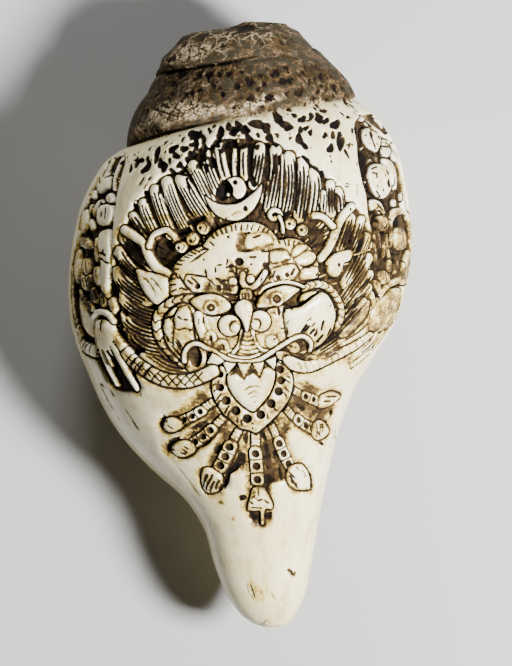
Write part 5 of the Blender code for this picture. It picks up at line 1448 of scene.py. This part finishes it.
# %% Spire: the eaten seams, the worn top and the crust
CREAM_GROUND = (
    [150, 126, 150, 112, 162, 104, 186, 100, 212, 104, 228, 110, 222, 118, 192, 123, 166, 130],
    [224, 119, 228, 108, 245, 100, 262, 95, 288, 94, 286, 102, 262, 109, 244, 117],
    [164, 62, 176, 48, 196, 40, 214, 44, 210, 58, 190, 64, 174, 68],
    [128, 138, 140, 124, 150, 122, 148, 132],
)
for cream in CREAM_GROUND:
    field(cream, -0.05, 7.0, soot=0.0, amber=0.85)
cuts([[121, 148, 150.6, 138.4, 184, 129.8, 224, 121]], 2.4, 0.5, 1.0)
cuts([[224, 121, 246, 117, 267, 113, 300, 104]], 1.5, 0.35, 0.8)
SPIRE_SEAMS = (
    ([166, 76, 176, 72, 189, 69], 4, 0.7, 0.95), ([193, 68, 203, 66, 211, 65], 4.4, 0.9, 0.95),
    ([214, 65, 228, 63, 240, 61, 258, 58], 3.0, 0.7, 0.95), ([262, 57, 280, 56, 300, 61], 1.6, 0.4, 0.8),
    ([160, 92, 168, 84, 180, 80], 2.4, 0.5, 0.8), ([150, 108, 162, 113, 178, 118], 1.6, 0.4, 0.8),
    ([187, 112, 198, 108, 212, 109], 1.4, 0.4, 0.75), ([232, 92, 236, 104, 231, 113], 1.2, 0.35, 0.7),
    ([300, 84, 306, 95, 318, 101], 1.4, 0.4, 0.8),
)
for path, width, depth, soot in SPIRE_SEAMS:
    drawing.cut(line(path), width, depth, soot, 0.5)
SPIRE_PITS = (
    (181, 76, 7, 3.4, -18), (199, 76, 4.6, 3.4, 0), (209, 76, 4, 4.2, 0), (174, 85, 5.5, 2.4, -15),
    (158, 95, 4, 2, -25), (246, 29, 7.5, 3, 0), (230, 30, 7, 1.6, -8), (172, 60, 5, 3, -25),
    (249, 83, 5, 4.6, 0), (237, 88, 3.4, 3.6, 0), (275, 75, 5.6, 4, 0), (250.5, 99, 4.6, 4, 0),
    (269.5, 99, 4.8, 3.6, 0), (283, 83, 4, 4.4, 0), (291, 82, 3.6, 4.6, 0), (321, 77.5, 3.6, 4, 0),
    (334, 88, 4, 4, 0), (299, 94, 5, 4, 0), (228, 76, 3.5, 2.6, -10), (264, 86, 2.6, 3, 0),
    (222, 96, 3, 3, 0), (213, 88, 2.8, 2.6, 0), (199, 92, 3, 2.6, 0), (186, 96, 2.6, 2.6, 0),
    (310, 84, 3, 3.4, 0), (318, 93, 2.8, 2.8, 0), (258, 91, 2.2, 2.2, 0), (241, 74, 2.6, 2, 0),
    (303, 74, 3, 2.4, 0), (143, 112, 2.6, 3, 0), (222, 48, 3.4, 1.4, -10), (262, 45, 3, 1.2, 0),
)
for x, v, wide, high, tilt in SPIRE_PITS:
    pit(x, v, 1.1 * wide, 1.1 * high, tilt, depth=0.6, soot=0.85, seed=x + v)
field([238, 27.5, 254, 25.5, 255, 32, 247, 32.5, 238, 33], -0.5, 1.6, soot=0.9, amber=0.3)
wash([268, 36, 290, 36, 294, 50, 272, 53], 0.0, 0.34, 9.0)
wash([296, 62, 318, 66, 330, 84, 306, 80], 0.0, 0.26, 9.0)

print("spire eaten")

# %% Small pits at seeded places
rng = np.random.default_rng(11)


def scatter(count, low, high, size, depth, soot, flat=0.75):
    """Small borers' pits at seeded places between two corners (angle, v)."""
    for _ in range(count):
        angle, v = rng.uniform(low, high)
        radius = size[0] + (size[1] - size[0]) * rng.random() ** 3
        place = (math.radians(angle) * float(front_radius(np.array([v]))[0]), v)
        tilt = rng.uniform(-40, 40)
        deep = depth * (0.6 + 0.6 * radius / size[1])
        drawing.pit(place, radius, radius * flat, tilt, deep, soot, seed=10 * rng.random())


scatter(620, (-180, 66), (180, 112), (1.0, 3.4), 0.4, 0.82, 0.85)
scatter(80, (-180, 36), (180, 60), (0.8, 2.4), 0.3, 0.75, 0.5)
scatter(90, (-75, 126), (-2, 166), (0.7, 2.6), 0.5, 0.95)
scatter(60, (0, 112), (70, 150), (0.6, 1.8), 0.4, 0.9)
scatter(120, (85, 100), (275, 175), (0.7, 3.0), 0.45, 0.85)
scatter(60, (-180, 180), (180, 540), (0.5, 1.2), 0.2, 0.75)
print("borers' pits scattered")

# %% Scratches and stains lower down
LONG_SCRATCHES = [
    [92, 383, 95, 392, 100, 406], [120, 402, 130, 417, 139, 431], [172, 460, 190, 482, 203, 500],
    [98, 384, 103, 385], [106, 404, 109, 410], [111, 392, 113, 394], [112, 415, 113, 418],
    [171, 391, 176, 394], [330, 415, 333, 416], [334, 434, 336, 437], [219, 501, 225, 504],
]
cuts(LONG_SCRATCHES, 1.2, 0.16, 0.6)
CANAL_SCRATCHES = [
    [241.3, 565, 241.6, 568], [245, 577, 247, 583, 249, 588], [257, 593, 259, 596], [267, 585, 268.5, 591],
    [270, 601, 273, 603], [284, 570.5, 288, 574, 290, 575], [286, 568, 290, 569], [274, 622, 276, 623],
    [262, 596, 265, 599], [238, 605, 239.5, 608], [295, 578, 295, 587],
]
cuts(CANAL_SCRATCHES, 1.5, 0.1, 0.28)
cuts([
    [244, 580, 246.5, 586, 249, 592, 252, 597, 254, 600, 257, 603], [261, 592, 264, 594],
    [270, 595, 275, 597], [290, 572.5, 294, 574], [264, 622, 266.5, 620.5, 269, 623],
], 2.0, 0.14, 0.55)
cuts([
    [250.5, 585, 252, 589, 253.5, 593, 255, 597, 254, 599], [287, 569, 291, 571, 295, 573],
], 2.6, 0.16, 0.68)
wash([243, 573, 250, 575, 263, 592, 267, 600, 257, 603, 248, 591], 0.6, 0.0, 4.0)
drill(292.8, 611, 1.2, -0.1, 0.3)
for x, v in (
    (107, 404), (111.5, 403), (114, 405), (173, 392), (175, 393.5), (220, 502), (334, 415), (338, 436),
    (243, 497),
):
    drill(x, v, 1.0, -0.15, 0.7)
print(
    "soot reaches", drawing.soot.max().round(2), "and the deepest cut is", drawing.height.min().round(2),
    "mm",
)

# %% [markdown]
# ## From drawing to mesh
# The drawing is wrapped back round the shell. Triangles are then added one batch after another
# where the mesh is furthest from the true surface, so that most of them end up in the carving.

# %% Points of the skin
CLOSING_ROWS = 10.0
ROWS_LENGTH = TIP_V - APEX_V + CLOSING_ROWS
DEGREE = 2.9


def v_of(t):
    """v at a row t. Rows crowd together at both ends, where the shell closes."""
    near_top = t**2 / (2 * CLOSING_ROWS)
    near_tip = TIP_V - APEX_V - (ROWS_LENGTH - t) ** 2 / (2 * CLOSING_ROWS)
    low = np.where(t > ROWS_LENGTH - CLOSING_ROWS, near_tip, t - CLOSING_ROWS / 2)
    return APEX_V + np.where(t < CLOSING_ROWS, near_top, low)


def between(grid, x, y):
    """Values of a grid at fractional places, x across and y down."""
    j = np.clip(x.astype(int), 0, grid.shape[1] - 2)
    i = np.clip(y.astype(int), 0, grid.shape[0] - 2)
    shape = (-1,) + (1,) * (grid.ndim - 2)
    x, y = (x - j).reshape(shape), (y - i).reshape(shape)
    upper = grid[i, j] * (1 - x) + grid[i, j + 1] * x
    return upper * (1 - y) + (grid[i + 1, j] * (1 - x) + grid[i + 1, j + 1] * x) * y


def softened(height, times=1):
    for _ in range(times):
        height = (np.roll(height, 1, 0) + np.roll(height, -1, 0) + 2 * height) / 4
        height = (np.roll(height, 1, 1) + np.roll(height, -1, 1) + 2 * height) / 4
    return height


class Skin:
    """Points of the carved shell on a grid of angles and rows, read between them.

    A fourth number is the soot as if it were a height, so dark edges get their triangles too."""

    def __init__(self, step):
        self.across = np.linspace(-180, 180, round(360 * DEGREE / step) + 1)
        self.down = np.linspace(0, ROWS_LENGTH, round(ROWS_LENGTH / step) + 1)
        angle, row = np.meshgrid(self.across, self.down)
        v = v_of(row)
        self.radius = shell_radius(angle, v)
        a = np.radians(angle) * front_radius(v)
        fade = smoothstep((v - APEX_V) / 6) * smoothstep((TIP_V - 4 - v) / 8)
        height = drawing.read(softened(drawing.height), a, v) * fade
        soot = 0.25 * drawing.read(drawing.soot, a, v)[..., None]
        self.points = np.concatenate([surface(angle, v, self.radius, height), soot], -1)
        self.points[:, -1] = self.points[:, 0]

    def at(self, angle, row):
        x = (angle + 180) / 360 * (len(self.across) - 1)
        y = row / ROWS_LENGTH * (len(self.down) - 1)
        return between(self.points, x.ravel(), y.ravel()).reshape(*angle.shape, 4)


skin = Skin(0.6)
print("skin points", skin.points.shape[:2])


# %% Triangles where they are needed
def importance(angle, row):
    """How much an error counts: most in the carving, less round the sides and on the crust."""
    v = v_of(row)
    front = smoothstep((105 - np.abs(angle)) / 25)
    return 0.25 + front * (0.4 + 0.35 * smoothstep((v - 108) / 20))


def triangulate(most):
    """Delaunay triangles on the rolled-out skin, refined where they are furthest from it."""
    end = np.array([0.0, 1, 2, 3.5, 5, 7, 9, 12, 16])
    rows = np.concatenate([end, np.arange(22, ROWS_LENGTH - 18, 9.0), ROWS_LENGTH - end[::-1]])
    angles = np.linspace(-180, 180, 91)
    x, y = np.meshgrid(angles * DEGREE, rows)
    places = np.stack([x.ravel(), y.ravel()], -1)
    n = 4
    weights = [(i, j, n - i - j) for i in range(n + 1) for j in range(n + 1 - i)]
    weights = np.array([w for w in weights if max(w) < n]) / n
    while True:
        made, _, faces, *_ = delaunay_2d_cdt(places.tolist(), [], [], 0, 1e-7, False)
        places, faces = np.array([tuple(p) for p in made]), np.array(faces)
        points = skin.at(places[:, 0] / DEGREE, places[:, 1])
        print("  triangles:", len(faces))
        if len(faces) >= most:
            return points[:, :3], faces[:, ::-1]
        samples = np.einsum("sk,fkd->fsd", weights, places[faces])
        true = skin.at(samples[..., 0] / DEGREE, samples[..., 1])
        error = np.linalg.norm(true - np.einsum("sk,fkd->fsd", weights, points[faces]), axis=-1)
        error = error * importance(samples[..., 0] / DEGREE, samples[..., 1])
        worst = error.argmax(1)
        room = (most - len(faces)) // 2 + 8
        take = np.argsort(-error.max(1))[: min(room, max(len(faces) // 3, 60))]
        new = samples[take, worst[take]]
        on_seam = np.abs(new[:, 0]) > (180 - 0.25) * DEGREE
        new[on_seam, 0] = 180 * DEGREE
        places = np.vstack([places, new, new[on_seam] * (-1, 1)])


def welded(points, faces):
    """Joins points at the same place, and drops the triangles that have collapsed."""
    _, kept, place = np.unique(np.round(points / 1e-4), axis=0, return_index=True, return_inverse=True)
    faces = place.reshape(-1)[faces]
    first, second, third = faces.T
    return points[kept], faces[(first != second) & (second != third) & (first != third)]


def mesh_object(name, points, faces):
    mesh = bpy.data.meshes.new(name)
    mesh.from_pydata((points * MM).tolist(), [], faces.tolist())
    mesh.validate()
    thing = bpy.data.objects.new(name, mesh)
    bpy.context.collection.objects.link(thing)
    return thing


MOST_TRIANGLES = 192000
points, faces = welded(*triangulate(MOST_TRIANGLES))
shell = mesh_object("carved_shell", points, faces)
print("skin mesh:", len(points), "points and", len(faces), "triangles")

# %% [markdown]
# ## The mouth
# The shell lies on its mouth, which opens into the last whorl. The hollow follows the same rule of
# growth a wall's thickness inside the skin, and three folds wind along the pillar in it.

# %% The hollow of the mouth
MOUTH_TURNS = (
    -236, -226, -216, -204, -192, -180, -168, -158, -150, -143, -136, -128, -118, -106, -94, -82, -72, -66
)
MOUTH_ROWS = 17
CORE = 2.4
mouth_end = curve((-236, 640), (-150, 640), (-143, 603), (-134, 566), (-118, 515), (-90, 460), (-60, 425))
canal = curve((0, 1), (430, 1), (490, 0.62), (540, 0.32), (650, 0.3))
wall = curve((-150, WALL), (-120, WALL + 0.4), (-60, 8.0), (0, 8.0))
lift = curve((-236, 3.2), (-222, 1.4), (-205, -0.5), (-190, -0.9), (0, -0.9))
COLUMELLA_FOLDS = (326, 348, 370)


def mouth_ring(turn):
    """One closed loop round the hollow at this angle."""
    s = (1 - np.cos(np.pi * (np.arange(MOUTH_ROWS) + 0.35) / (MOUTH_ROWS - 0.3))) / 2
    size = {-72: 0.75, -66: 0.35}.get(turn, 1)
    top, bottom = suture(turn) + 15, mouth_end(turn)
    v = (top + bottom) / 2 + (s - 0.5) * (bottom - top) * (0.6 + 0.4 * size)
    angle = -165 + (turn + 165) * canal(v)
    thin = 1 - 0.45 * smoothstep((v - 420) / 120)
    outer = whorl(angle, v) * SQUARE + (14 if turn < LIP_ANGLE - 4 else -wall(turn) * thin)
    inner = whorl(angle + 360, v) * SQUARE + lift(turn)
    for fold in COLUMELLA_FOLDS:
        inner = inner + 1.3 * np.exp(-(((v - fold) / 6) ** 2)) * (-190 < turn < -50)
    inner = np.minimum(np.maximum(inner, CORE), outer - 0.8)
    half = (outer - inner) / 2 * size * np.sqrt(1 - (2 * s - 1) ** 8)
    middle = (outer + inner) / 2
    loop = [(angle, v, middle + half), (angle[::-1], v[::-1], (middle - half)[::-1])]
    angle, v, radius = (np.concatenate(c) for c in zip(*loop))
    turned = np.radians(angle)
    x = (axis_x(v) - MIDDLE_X) * SQUARE + radius * np.sin(turned)
    z = axis_height(v) + FLATNESS * radius * np.cos(turned)
    return np.stack([x, (MIDDLE_V - v) * SQUARE, z], -1)


rings = [mouth_ring(turn) for turn in MOUTH_TURNS]
count, hollow = len(rings[0]), np.vstack(rings)
sides = []
for i in range(count):
    j = (i + 1) % count
    for ring in range(len(rings) - 1):
        a, b = ring * count, ring * count + count
        if np.linalg.norm(hollow[a + i] - hollow[b + j]) < np.linalg.norm(hollow[b + i] - hollow[a + j]):
            sides += [(a + i, b + i, b + j), (a + i, b + j, a + j)]
        else:
            sides += [(a + i, b + i, a + j), (a + j, b + i, b + j)]
last = len(hollow) - count
for i in range(MOUTH_ROWS - 1):
    near, far = count - 1 - i, count - 2 - i
    sides += [(i, i + 1, near), (i + 1, far, near)]
    sides += [(last + i, last + near, last + i + 1), (last + i + 1, last + near, last + far)]
sides = np.array(sides)
if np.linalg.det(hollow[sides]).sum() < 0:
    sides = sides[:, ::-1]
cutter = mesh_object("mouth_cutter", hollow, sides)
print("hollow with", len(sides), "faces")

# %% Cut it out
mouth = shell.modifiers.new("mouth", "BOOLEAN")
mouth.operation = "DIFFERENCE"
mouth.solver = "MANIFOLD"
mouth.object = cutter
graph = bpy.context.evaluated_depsgraph_get()
cut_mesh = bpy.data.meshes.new_from_object(shell.evaluated_get(graph))
shell.modifiers.clear()
shell.data = cut_mesh
bpy.data.objects.remove(cutter)
cut_mesh.polygons.foreach_set("use_smooth", [True] * len(cut_mesh.polygons))
print("cut mesh:", len(cut_mesh.vertices), "points and", len(cut_mesh.polygons), "faces")

# %% [markdown]
# ## Where the dirt lies
# Every point of the mesh gets a few numbers from its place on the drawing: the soot, the stain, how
# far it stands above the carving round it or lies below it, whether it is on the spire, and whether
# it belongs to the outside at all. A halo of stain spreads from the soot. The shoulder has been
# rubbed cleaner than the carving, so stain and halo fade there. The material reads them by name.
# On the left figures and the right bulge the soot and the stain also carry painted shade.

# %% Numbers at the mesh's points
def blurred(layer, squares):
    """Three box means one after another, which is close to a round blur."""
    half = max(1, round(squares / drawing.step / 2))
    for axis in (0, 1, 0, 1, 0, 1):
        padded = np.insert(layer, [0] * (half + 1), np.take(layer, [0], axis), axis=axis)
        total = np.cumsum(padded, axis=axis)
        total = np.concatenate([total] + [np.take(total, [-1], axis)] * half, axis)
        n = layer.shape[axis]
        width = 2 * half + 1
        high = np.take(total, np.clip(np.arange(n) + width, 0, total.shape[axis] - 1), axis)
        layer = (high - np.take(total, np.arange(n), axis)) / width
    return layer


place = np.empty(len(cut_mesh.vertices) * 3)
cut_mesh.vertices.foreach_get("co", place)
place = place.reshape(-1, 3) / MM
point_v = np.clip(MIDDLE_V - place[:, 1] / SQUARE, APEX_V + 0.01, TIP_V - 0.01)
across = place[:, 0] - (axis_x(point_v) - MIDDLE_X) * SQUARE
up = (place[:, 2] - axis_height(point_v)) / FLATNESS
point_angle = np.degrees(np.arctan2(across, up))
depth_in = shell_radius(point_angle, point_v) * SQUARE - np.hypot(across, up)
outside = smoothstep((5.2 - depth_in) / 1.4)
point_a = np.radians(point_angle) * front_radius(point_v)
near = blurred(drawing.height, 2.5)
wide = blurred(drawing.height, 8.0)
spire = smoothstep((suture(point_angle) - point_v) / 3 + 0.5)
halo = 0.5 * blurred(drawing.soot, 4.0) + 0.9 * blurred(drawing.soot, 10.0)
RUBBED_ABOVE = 228
stained = 1 - 0.65 * smoothstep((RUBBED_ABOVE - point_v) / 26) * (1 - spire)
stain = np.clip(drawing.read(softened(drawing.amber, 2), point_a, point_v), 0, 1)
numbers = {
    "outside": outside,
    "soot": drawing.read(softened(drawing.soot), point_a, point_v) * outside,
    "amber": stain * outside * stained,
    "proud": np.clip(0.5 + 1.1 * drawing.read(drawing.height - near, point_a, point_v), 0, 1),
    "sunk": np.clip(-drawing.read(wide, point_a, point_v) / 2.0, 0, 1) * outside,
    "halo": np.clip(drawing.read(halo, point_a, point_v), 0, 1) * outside * stained,
    "spire": spire * outside,
}
for name, values in numbers.items():
    layer = cut_mesh.attributes.new(name, "FLOAT", "POINT")
    layer.data.foreach_set("value", np.asarray(values, np.float32))
    print(f"{name}: {values.min():.2f} to {values.max():.2f}, mean {values.mean():.2f}")

# %% [markdown]
# ## The material
# Old ivory-coloured shell, polished by hands: nearly white on the tops, warmer between them, amber
# in the sunk grounds and almost black in the deepest cuts. The spire has lost its polish and keeps
# a tan crust. All patterns come from the object's own coordinates.

# %% Sums of shader sockets
class Socket:
    """A node's output that can take part in sums."""

    def __init__(self, tree, output):
        self.tree, self.output = tree, output

    def node(self, kind, settings=(), links=(), output=0):
        """Adds any node, sets its settings, and fills its inputs with numbers, colours or sockets."""
        made = self.tree.nodes.new(kind)
        for name, value in dict(settings).items():
            setattr(made, name, value)
        for name, value in dict(links).items():
            if isinstance(value, Socket):
                self.tree.links.new(value.output, made.inputs[name])
            else:
                made.inputs[name].default_value = value
        return Socket(self.tree, made.outputs[output])

    def maths(self, operation, *others, clamp=False):
        links = dict(enumerate((self, *others)))
        return self.node("ShaderNodeMath", {"operation": operation, "use_clamp": clamp}, links)

    def __add__(self, other):
        return self.maths("ADD", other)

    def __sub__(self, other):
        return self.maths("SUBTRACT", other)

    def __rsub__(self, other):
        return self.node("ShaderNodeMath", {"operation": "SUBTRACT"}, {0: other, 1: self})

    def __mul__(self, other):
        return self.maths("MULTIPLY", other)

    __radd__, __rmul__ = __add__, __mul__

    def clamped(self):
        return self.maths("ADD", 0.0, clamp=True)

    def step(self, low, high):
        """0 below low, 1 above high, smooth between."""
        links = {"Value": self, "From Min": low, "From Max": high}
        return self.node("ShaderNodeMapRange", {"interpolation_type": "SMOOTHSTEP"}, links)

    def stretched(self, scale):
        return self.node("ShaderNodeVectorMath", {"operation": "MULTIPLY"}, {0: self, 1: scale})

    def noise(self, scale, detail=3.0, rough=0.55, twist=0.0):
        links = {"Vector": self, "Scale": scale, "Detail": detail, "Roughness": rough, "Distortion": twist}
        return self.node("ShaderNodeTexNoise", {}, links)


def colour(code):
    """A colour written as #rrggbb, as the linear numbers that shaders take."""
    parts = [int(code[i : i + 2], 16) / 255 for i in (1, 3, 5)]
    return (*[c / 12.92 if c < 0.04045 else ((c + 0.055) / 1.055) ** 2.4 for c in parts], 1.0)


def mixed(amount, first, second):
    """The first colour where amount is 0, the second where it is 1."""
    links = {"Factor": amount, 6: first, 7: second}
    return amount.node("ShaderNodeMix", {"data_type": "RGBA"}, links, 2)


print("ivory as linear numbers:", np.round(colour("#f4e9bd"), 3))

# %% The shell's ivory
material = bpy.data.materials.new("shell_ivory")
material.use_nodes = True
tree = material.node_tree
shader = tree.nodes["Principled BSDF"]
start = Socket(tree, None)
where = start.node("ShaderNodeTexCoord", output=3)


def number(name):
    return start.node("ShaderNodeAttribute", {"attribute_name": name}, output=2)


outside_, soot, amber = number("outside"), number("soot"), number("amber")
proud, sunk, halo = number("proud"), number("sunk"), number("halo")
on_spire = number("spire")
patches = where.noise(38.0, 3.0, 0.6)
blots = where.noise(170.0, 4.0, 0.65)
fine = where.noise(420.0, 4.0, 0.6)
streaks = where.stretched((1.0, 0.09, 1.0)).noise(330.0, 4.0, 0.65)
grain = where.noise(1500.0, 3.0, 0.6)
mottle = 0.5 * fine + 0.5 * grain

ivory = mixed(patches.step(0.35, 0.7), colour("#f4e9bd"), colour("#e8d79c"))
ivory = mixed(streaks.step(0.46, 0.66) * 0.5, ivory, colour("#bda468"))
ivory = mixed((proud.step(0.5, 0.85) * 0.7).clamped(), ivory, colour("#fbf6da"))
touched = (amber + halo).clamped()
spread = 0.5 + 1.0 * blots.step(0.35, 0.65)
wear = (amber * 0.42 + halo * 0.62) * spread + sunk * 0.25 + (patches - 0.5) * 0.3 - (proud - 0.5) * 0.7
wear = wear + (mottle - 0.5) * (0.4 + 1.7 * touched)
ivory = mixed(wear.step(0.08, 0.36), ivory, colour("#cfb45c"))
ivory = mixed(wear.step(0.34, 0.62), ivory, colour("#7f6633"))
ivory = mixed(wear.step(0.6, 0.9), ivory, colour("#3a2b16"))

eaten = where.stretched((1.0, 1.5, 1.0)).noise(300.0, 5.0, 0.72, 0.5)
swirl = where.node("ShaderNodeTexNoise", {}, {"Vector": where, "Scale": 420.0, "Detail": 3.0}, output=1)
WARP = (0.004, 0.004, 0.004)
warped = swirl.node("ShaderNodeVectorMath", {"operation": "MULTIPLY_ADD"}, {0: swirl, 1: WARP, 2: where})
web = warped.node("ShaderNodeTexVoronoi", {"feature": "DISTANCE_TO_EDGE"}, {"Vector": warped, "Scale": 240.0})
crust = mixed(eaten.step(0.38, 0.52), colour("#61482f"), colour("#0a0502"))
crust = mixed(grain.step(0.42, 0.6) * 0.7, crust, colour("#22160b"))
bare = (amber * 0.95 + patches * 0.5 - 0.25 + (mottle - 0.5) * 2.2).step(0.3, 0.8)
crust = mixed(bare * 0.85, crust, mixed(grain.step(0.44, 0.6), colour("#dac9a5"), colour("#5f4529")))
crust = mixed(web.step(0.11, 0.03) * bare, crust, colour("#2a1a08"))
crust = mixed(web.step(0.06, 0.01) * (1 - bare) * patches.step(0.48, 0.6) * 0.7, crust, colour("#b3a180"))
ivory = mixed(on_spire * 0.97, ivory, crust)

dirt = soot * (0.8 + 0.4 * blots.step(0.35, 0.65)) + 0.4 * (mottle - 0.5)
earth = mixed(fine.step(0.4, 0.62), colour("#150c03"), colour("#382a17"))
earth = mixed(blots.step(0.5, 0.7) * 0.6, earth, colour("#5b4625"))
ivory = mixed(dirt.step(0.15, 0.45), ivory, earth)
black = dirt.step(0.58, 0.84).clamped()
ivory = mixed(black, ivory, mixed(fine.step(0.4, 0.65), colour("#040201"), colour("#100803")))
inner = mixed(patches.step(0.3, 0.7), colour("#e2c9a4"), colour("#c9a273"))
ivory = mixed(outside_, inner, ivory)
dull = (dirt.step(0.1, 0.4) + on_spire + wear * 0.4).clamped()
rough = (0.3 + 0.65 * dull + 0.1 * (streaks - 0.5)).clamped()
coat = (0.4 - 0.4 * dull).clamped()
bumps = grain * 0.25 + fine * 0.15 + streaks * 0.3 + on_spire * (eaten * -1.6 + grain * 0.8)
bump = start.node("ShaderNodeBump", {}, {"Strength": 0.5, "Distance": 0.00016, "Height": bumps})
tree.links.new(coat.output, shader.inputs["Coat Weight"])
tree.links.new(ivory.output, shader.inputs["Base Color"])
tree.links.new(rough.output, shader.inputs["Roughness"])
tree.links.new(bump.output, shader.inputs["Normal"])
shader.inputs["Coat Roughness"].default_value = 0.18
shader.inputs["Specular IOR Level"].default_value = 0.15
shell.data.materials.clear()
shell.data.materials.append(material)
print("material with", len(tree.nodes), "nodes")

# %% Give the shell its place in the model
shell.name = "carved_shell"
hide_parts("conch_shell")
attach(shell, "root")
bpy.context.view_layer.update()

# %% [markdown]
# ## Floor, light and camera
# A plain pale floor and soft light from large panels, the strongest high up on the right. The
# camera looks straight down, from far away with a long lens, so hardly any perspective shows.

# %% Floor
FLOOR_HALF = 3.0
FLOOR_DROP = 0.0001
FLOOR_GREY = (0.42, 0.42, 0.415, 1)
corners = [(x * FLOOR_HALF, y * FLOOR_HALF, 0) for x, y in ((-1, -1), (1, -1), (1, 1), (-1, 1))]
floor_mesh = bpy.data.meshes.new("floor")
floor_mesh.from_pydata(corners, [], [(0, 1, 2, 3)])
floor = bpy.data.objects.new("floor", floor_mesh)
floor.location.z = -FLOOR_DROP
bpy.context.collection.objects.link(floor)
floor_paint = bpy.data.materials.new("floor_paint")
floor_paint.use_nodes = True
paint = floor_paint.node_tree.nodes["Principled BSDF"].inputs
paint["Base Color"].default_value = FLOOR_GREY
paint["Roughness"].default_value = 0.8
floor_mesh.materials.append(floor_paint)
print("floor laid")


# %% Lights
AIM = (0, 0, 0.03)
KEY_POWER = 27.5
FILL_POWER = 4.5
SKY = 0.035


def panel(name, place, size, power):
    """A square soft light that faces the shell."""
    light = bpy.data.lights.new(name, "AREA")
    light.shape = "SQUARE"
    light.size = size
    light.energy = power
    lamp = bpy.data.objects.new(name, light)
    lamp.location = place
    direction = np.array(AIM) - np.array(place)
    flat = math.hypot(direction[0], direction[1])
    lamp.rotation_euler = (math.atan2(flat, -direction[2]), 0, math.atan2(-direction[0], direction[1]))
    bpy.context.collection.objects.link(lamp)


panel("key", (0.46, -0.12, 0.66), 0.16, KEY_POWER)
panel("fill", (-0.05, 0.75, 0.5), 0.3, FILL_POWER)
world = bpy.data.worlds.new("studio")
world.use_nodes = True
background = world.node_tree.nodes["Background"].inputs
background["Color"].default_value = (1.0, 1.0, 1.0, 1)
background["Strength"].default_value = SKY
bpy.context.scene.world = world
print("lights hung")

# %% Camera
CAMERA_HEIGHT = 4.0
OUTLINE_HEIGHT = 0.038
SQUARES_ACROSS = 512
PICTURE_X, PICTURE_V = 256, 333
SENSOR = 36.0
WIDTH_SEEN = SQUARES_ACROSS * SQUARE * MM
camera_data = bpy.data.cameras.new("camera")
camera_data.sensor_fit = "HORIZONTAL"
camera_data.sensor_width = SENSOR
camera_data.lens = SENSOR * (CAMERA_HEIGHT - OUTLINE_HEIGHT) / WIDTH_SEEN
camera_data.clip_start = 0.5
camera_data.clip_end = 20.0
camera = bpy.data.objects.new("camera", camera_data)
camera.location.x = (PICTURE_X - MIDDLE_X) * SQUARE * MM
camera.location.y = (MIDDLE_V - PICTURE_V) * SQUARE * MM
camera.location.z = CAMERA_HEIGHT
bpy.context.collection.objects.link(camera)
bpy.context.scene.camera = camera
print("camera lens", round(camera_data.lens), "mm")
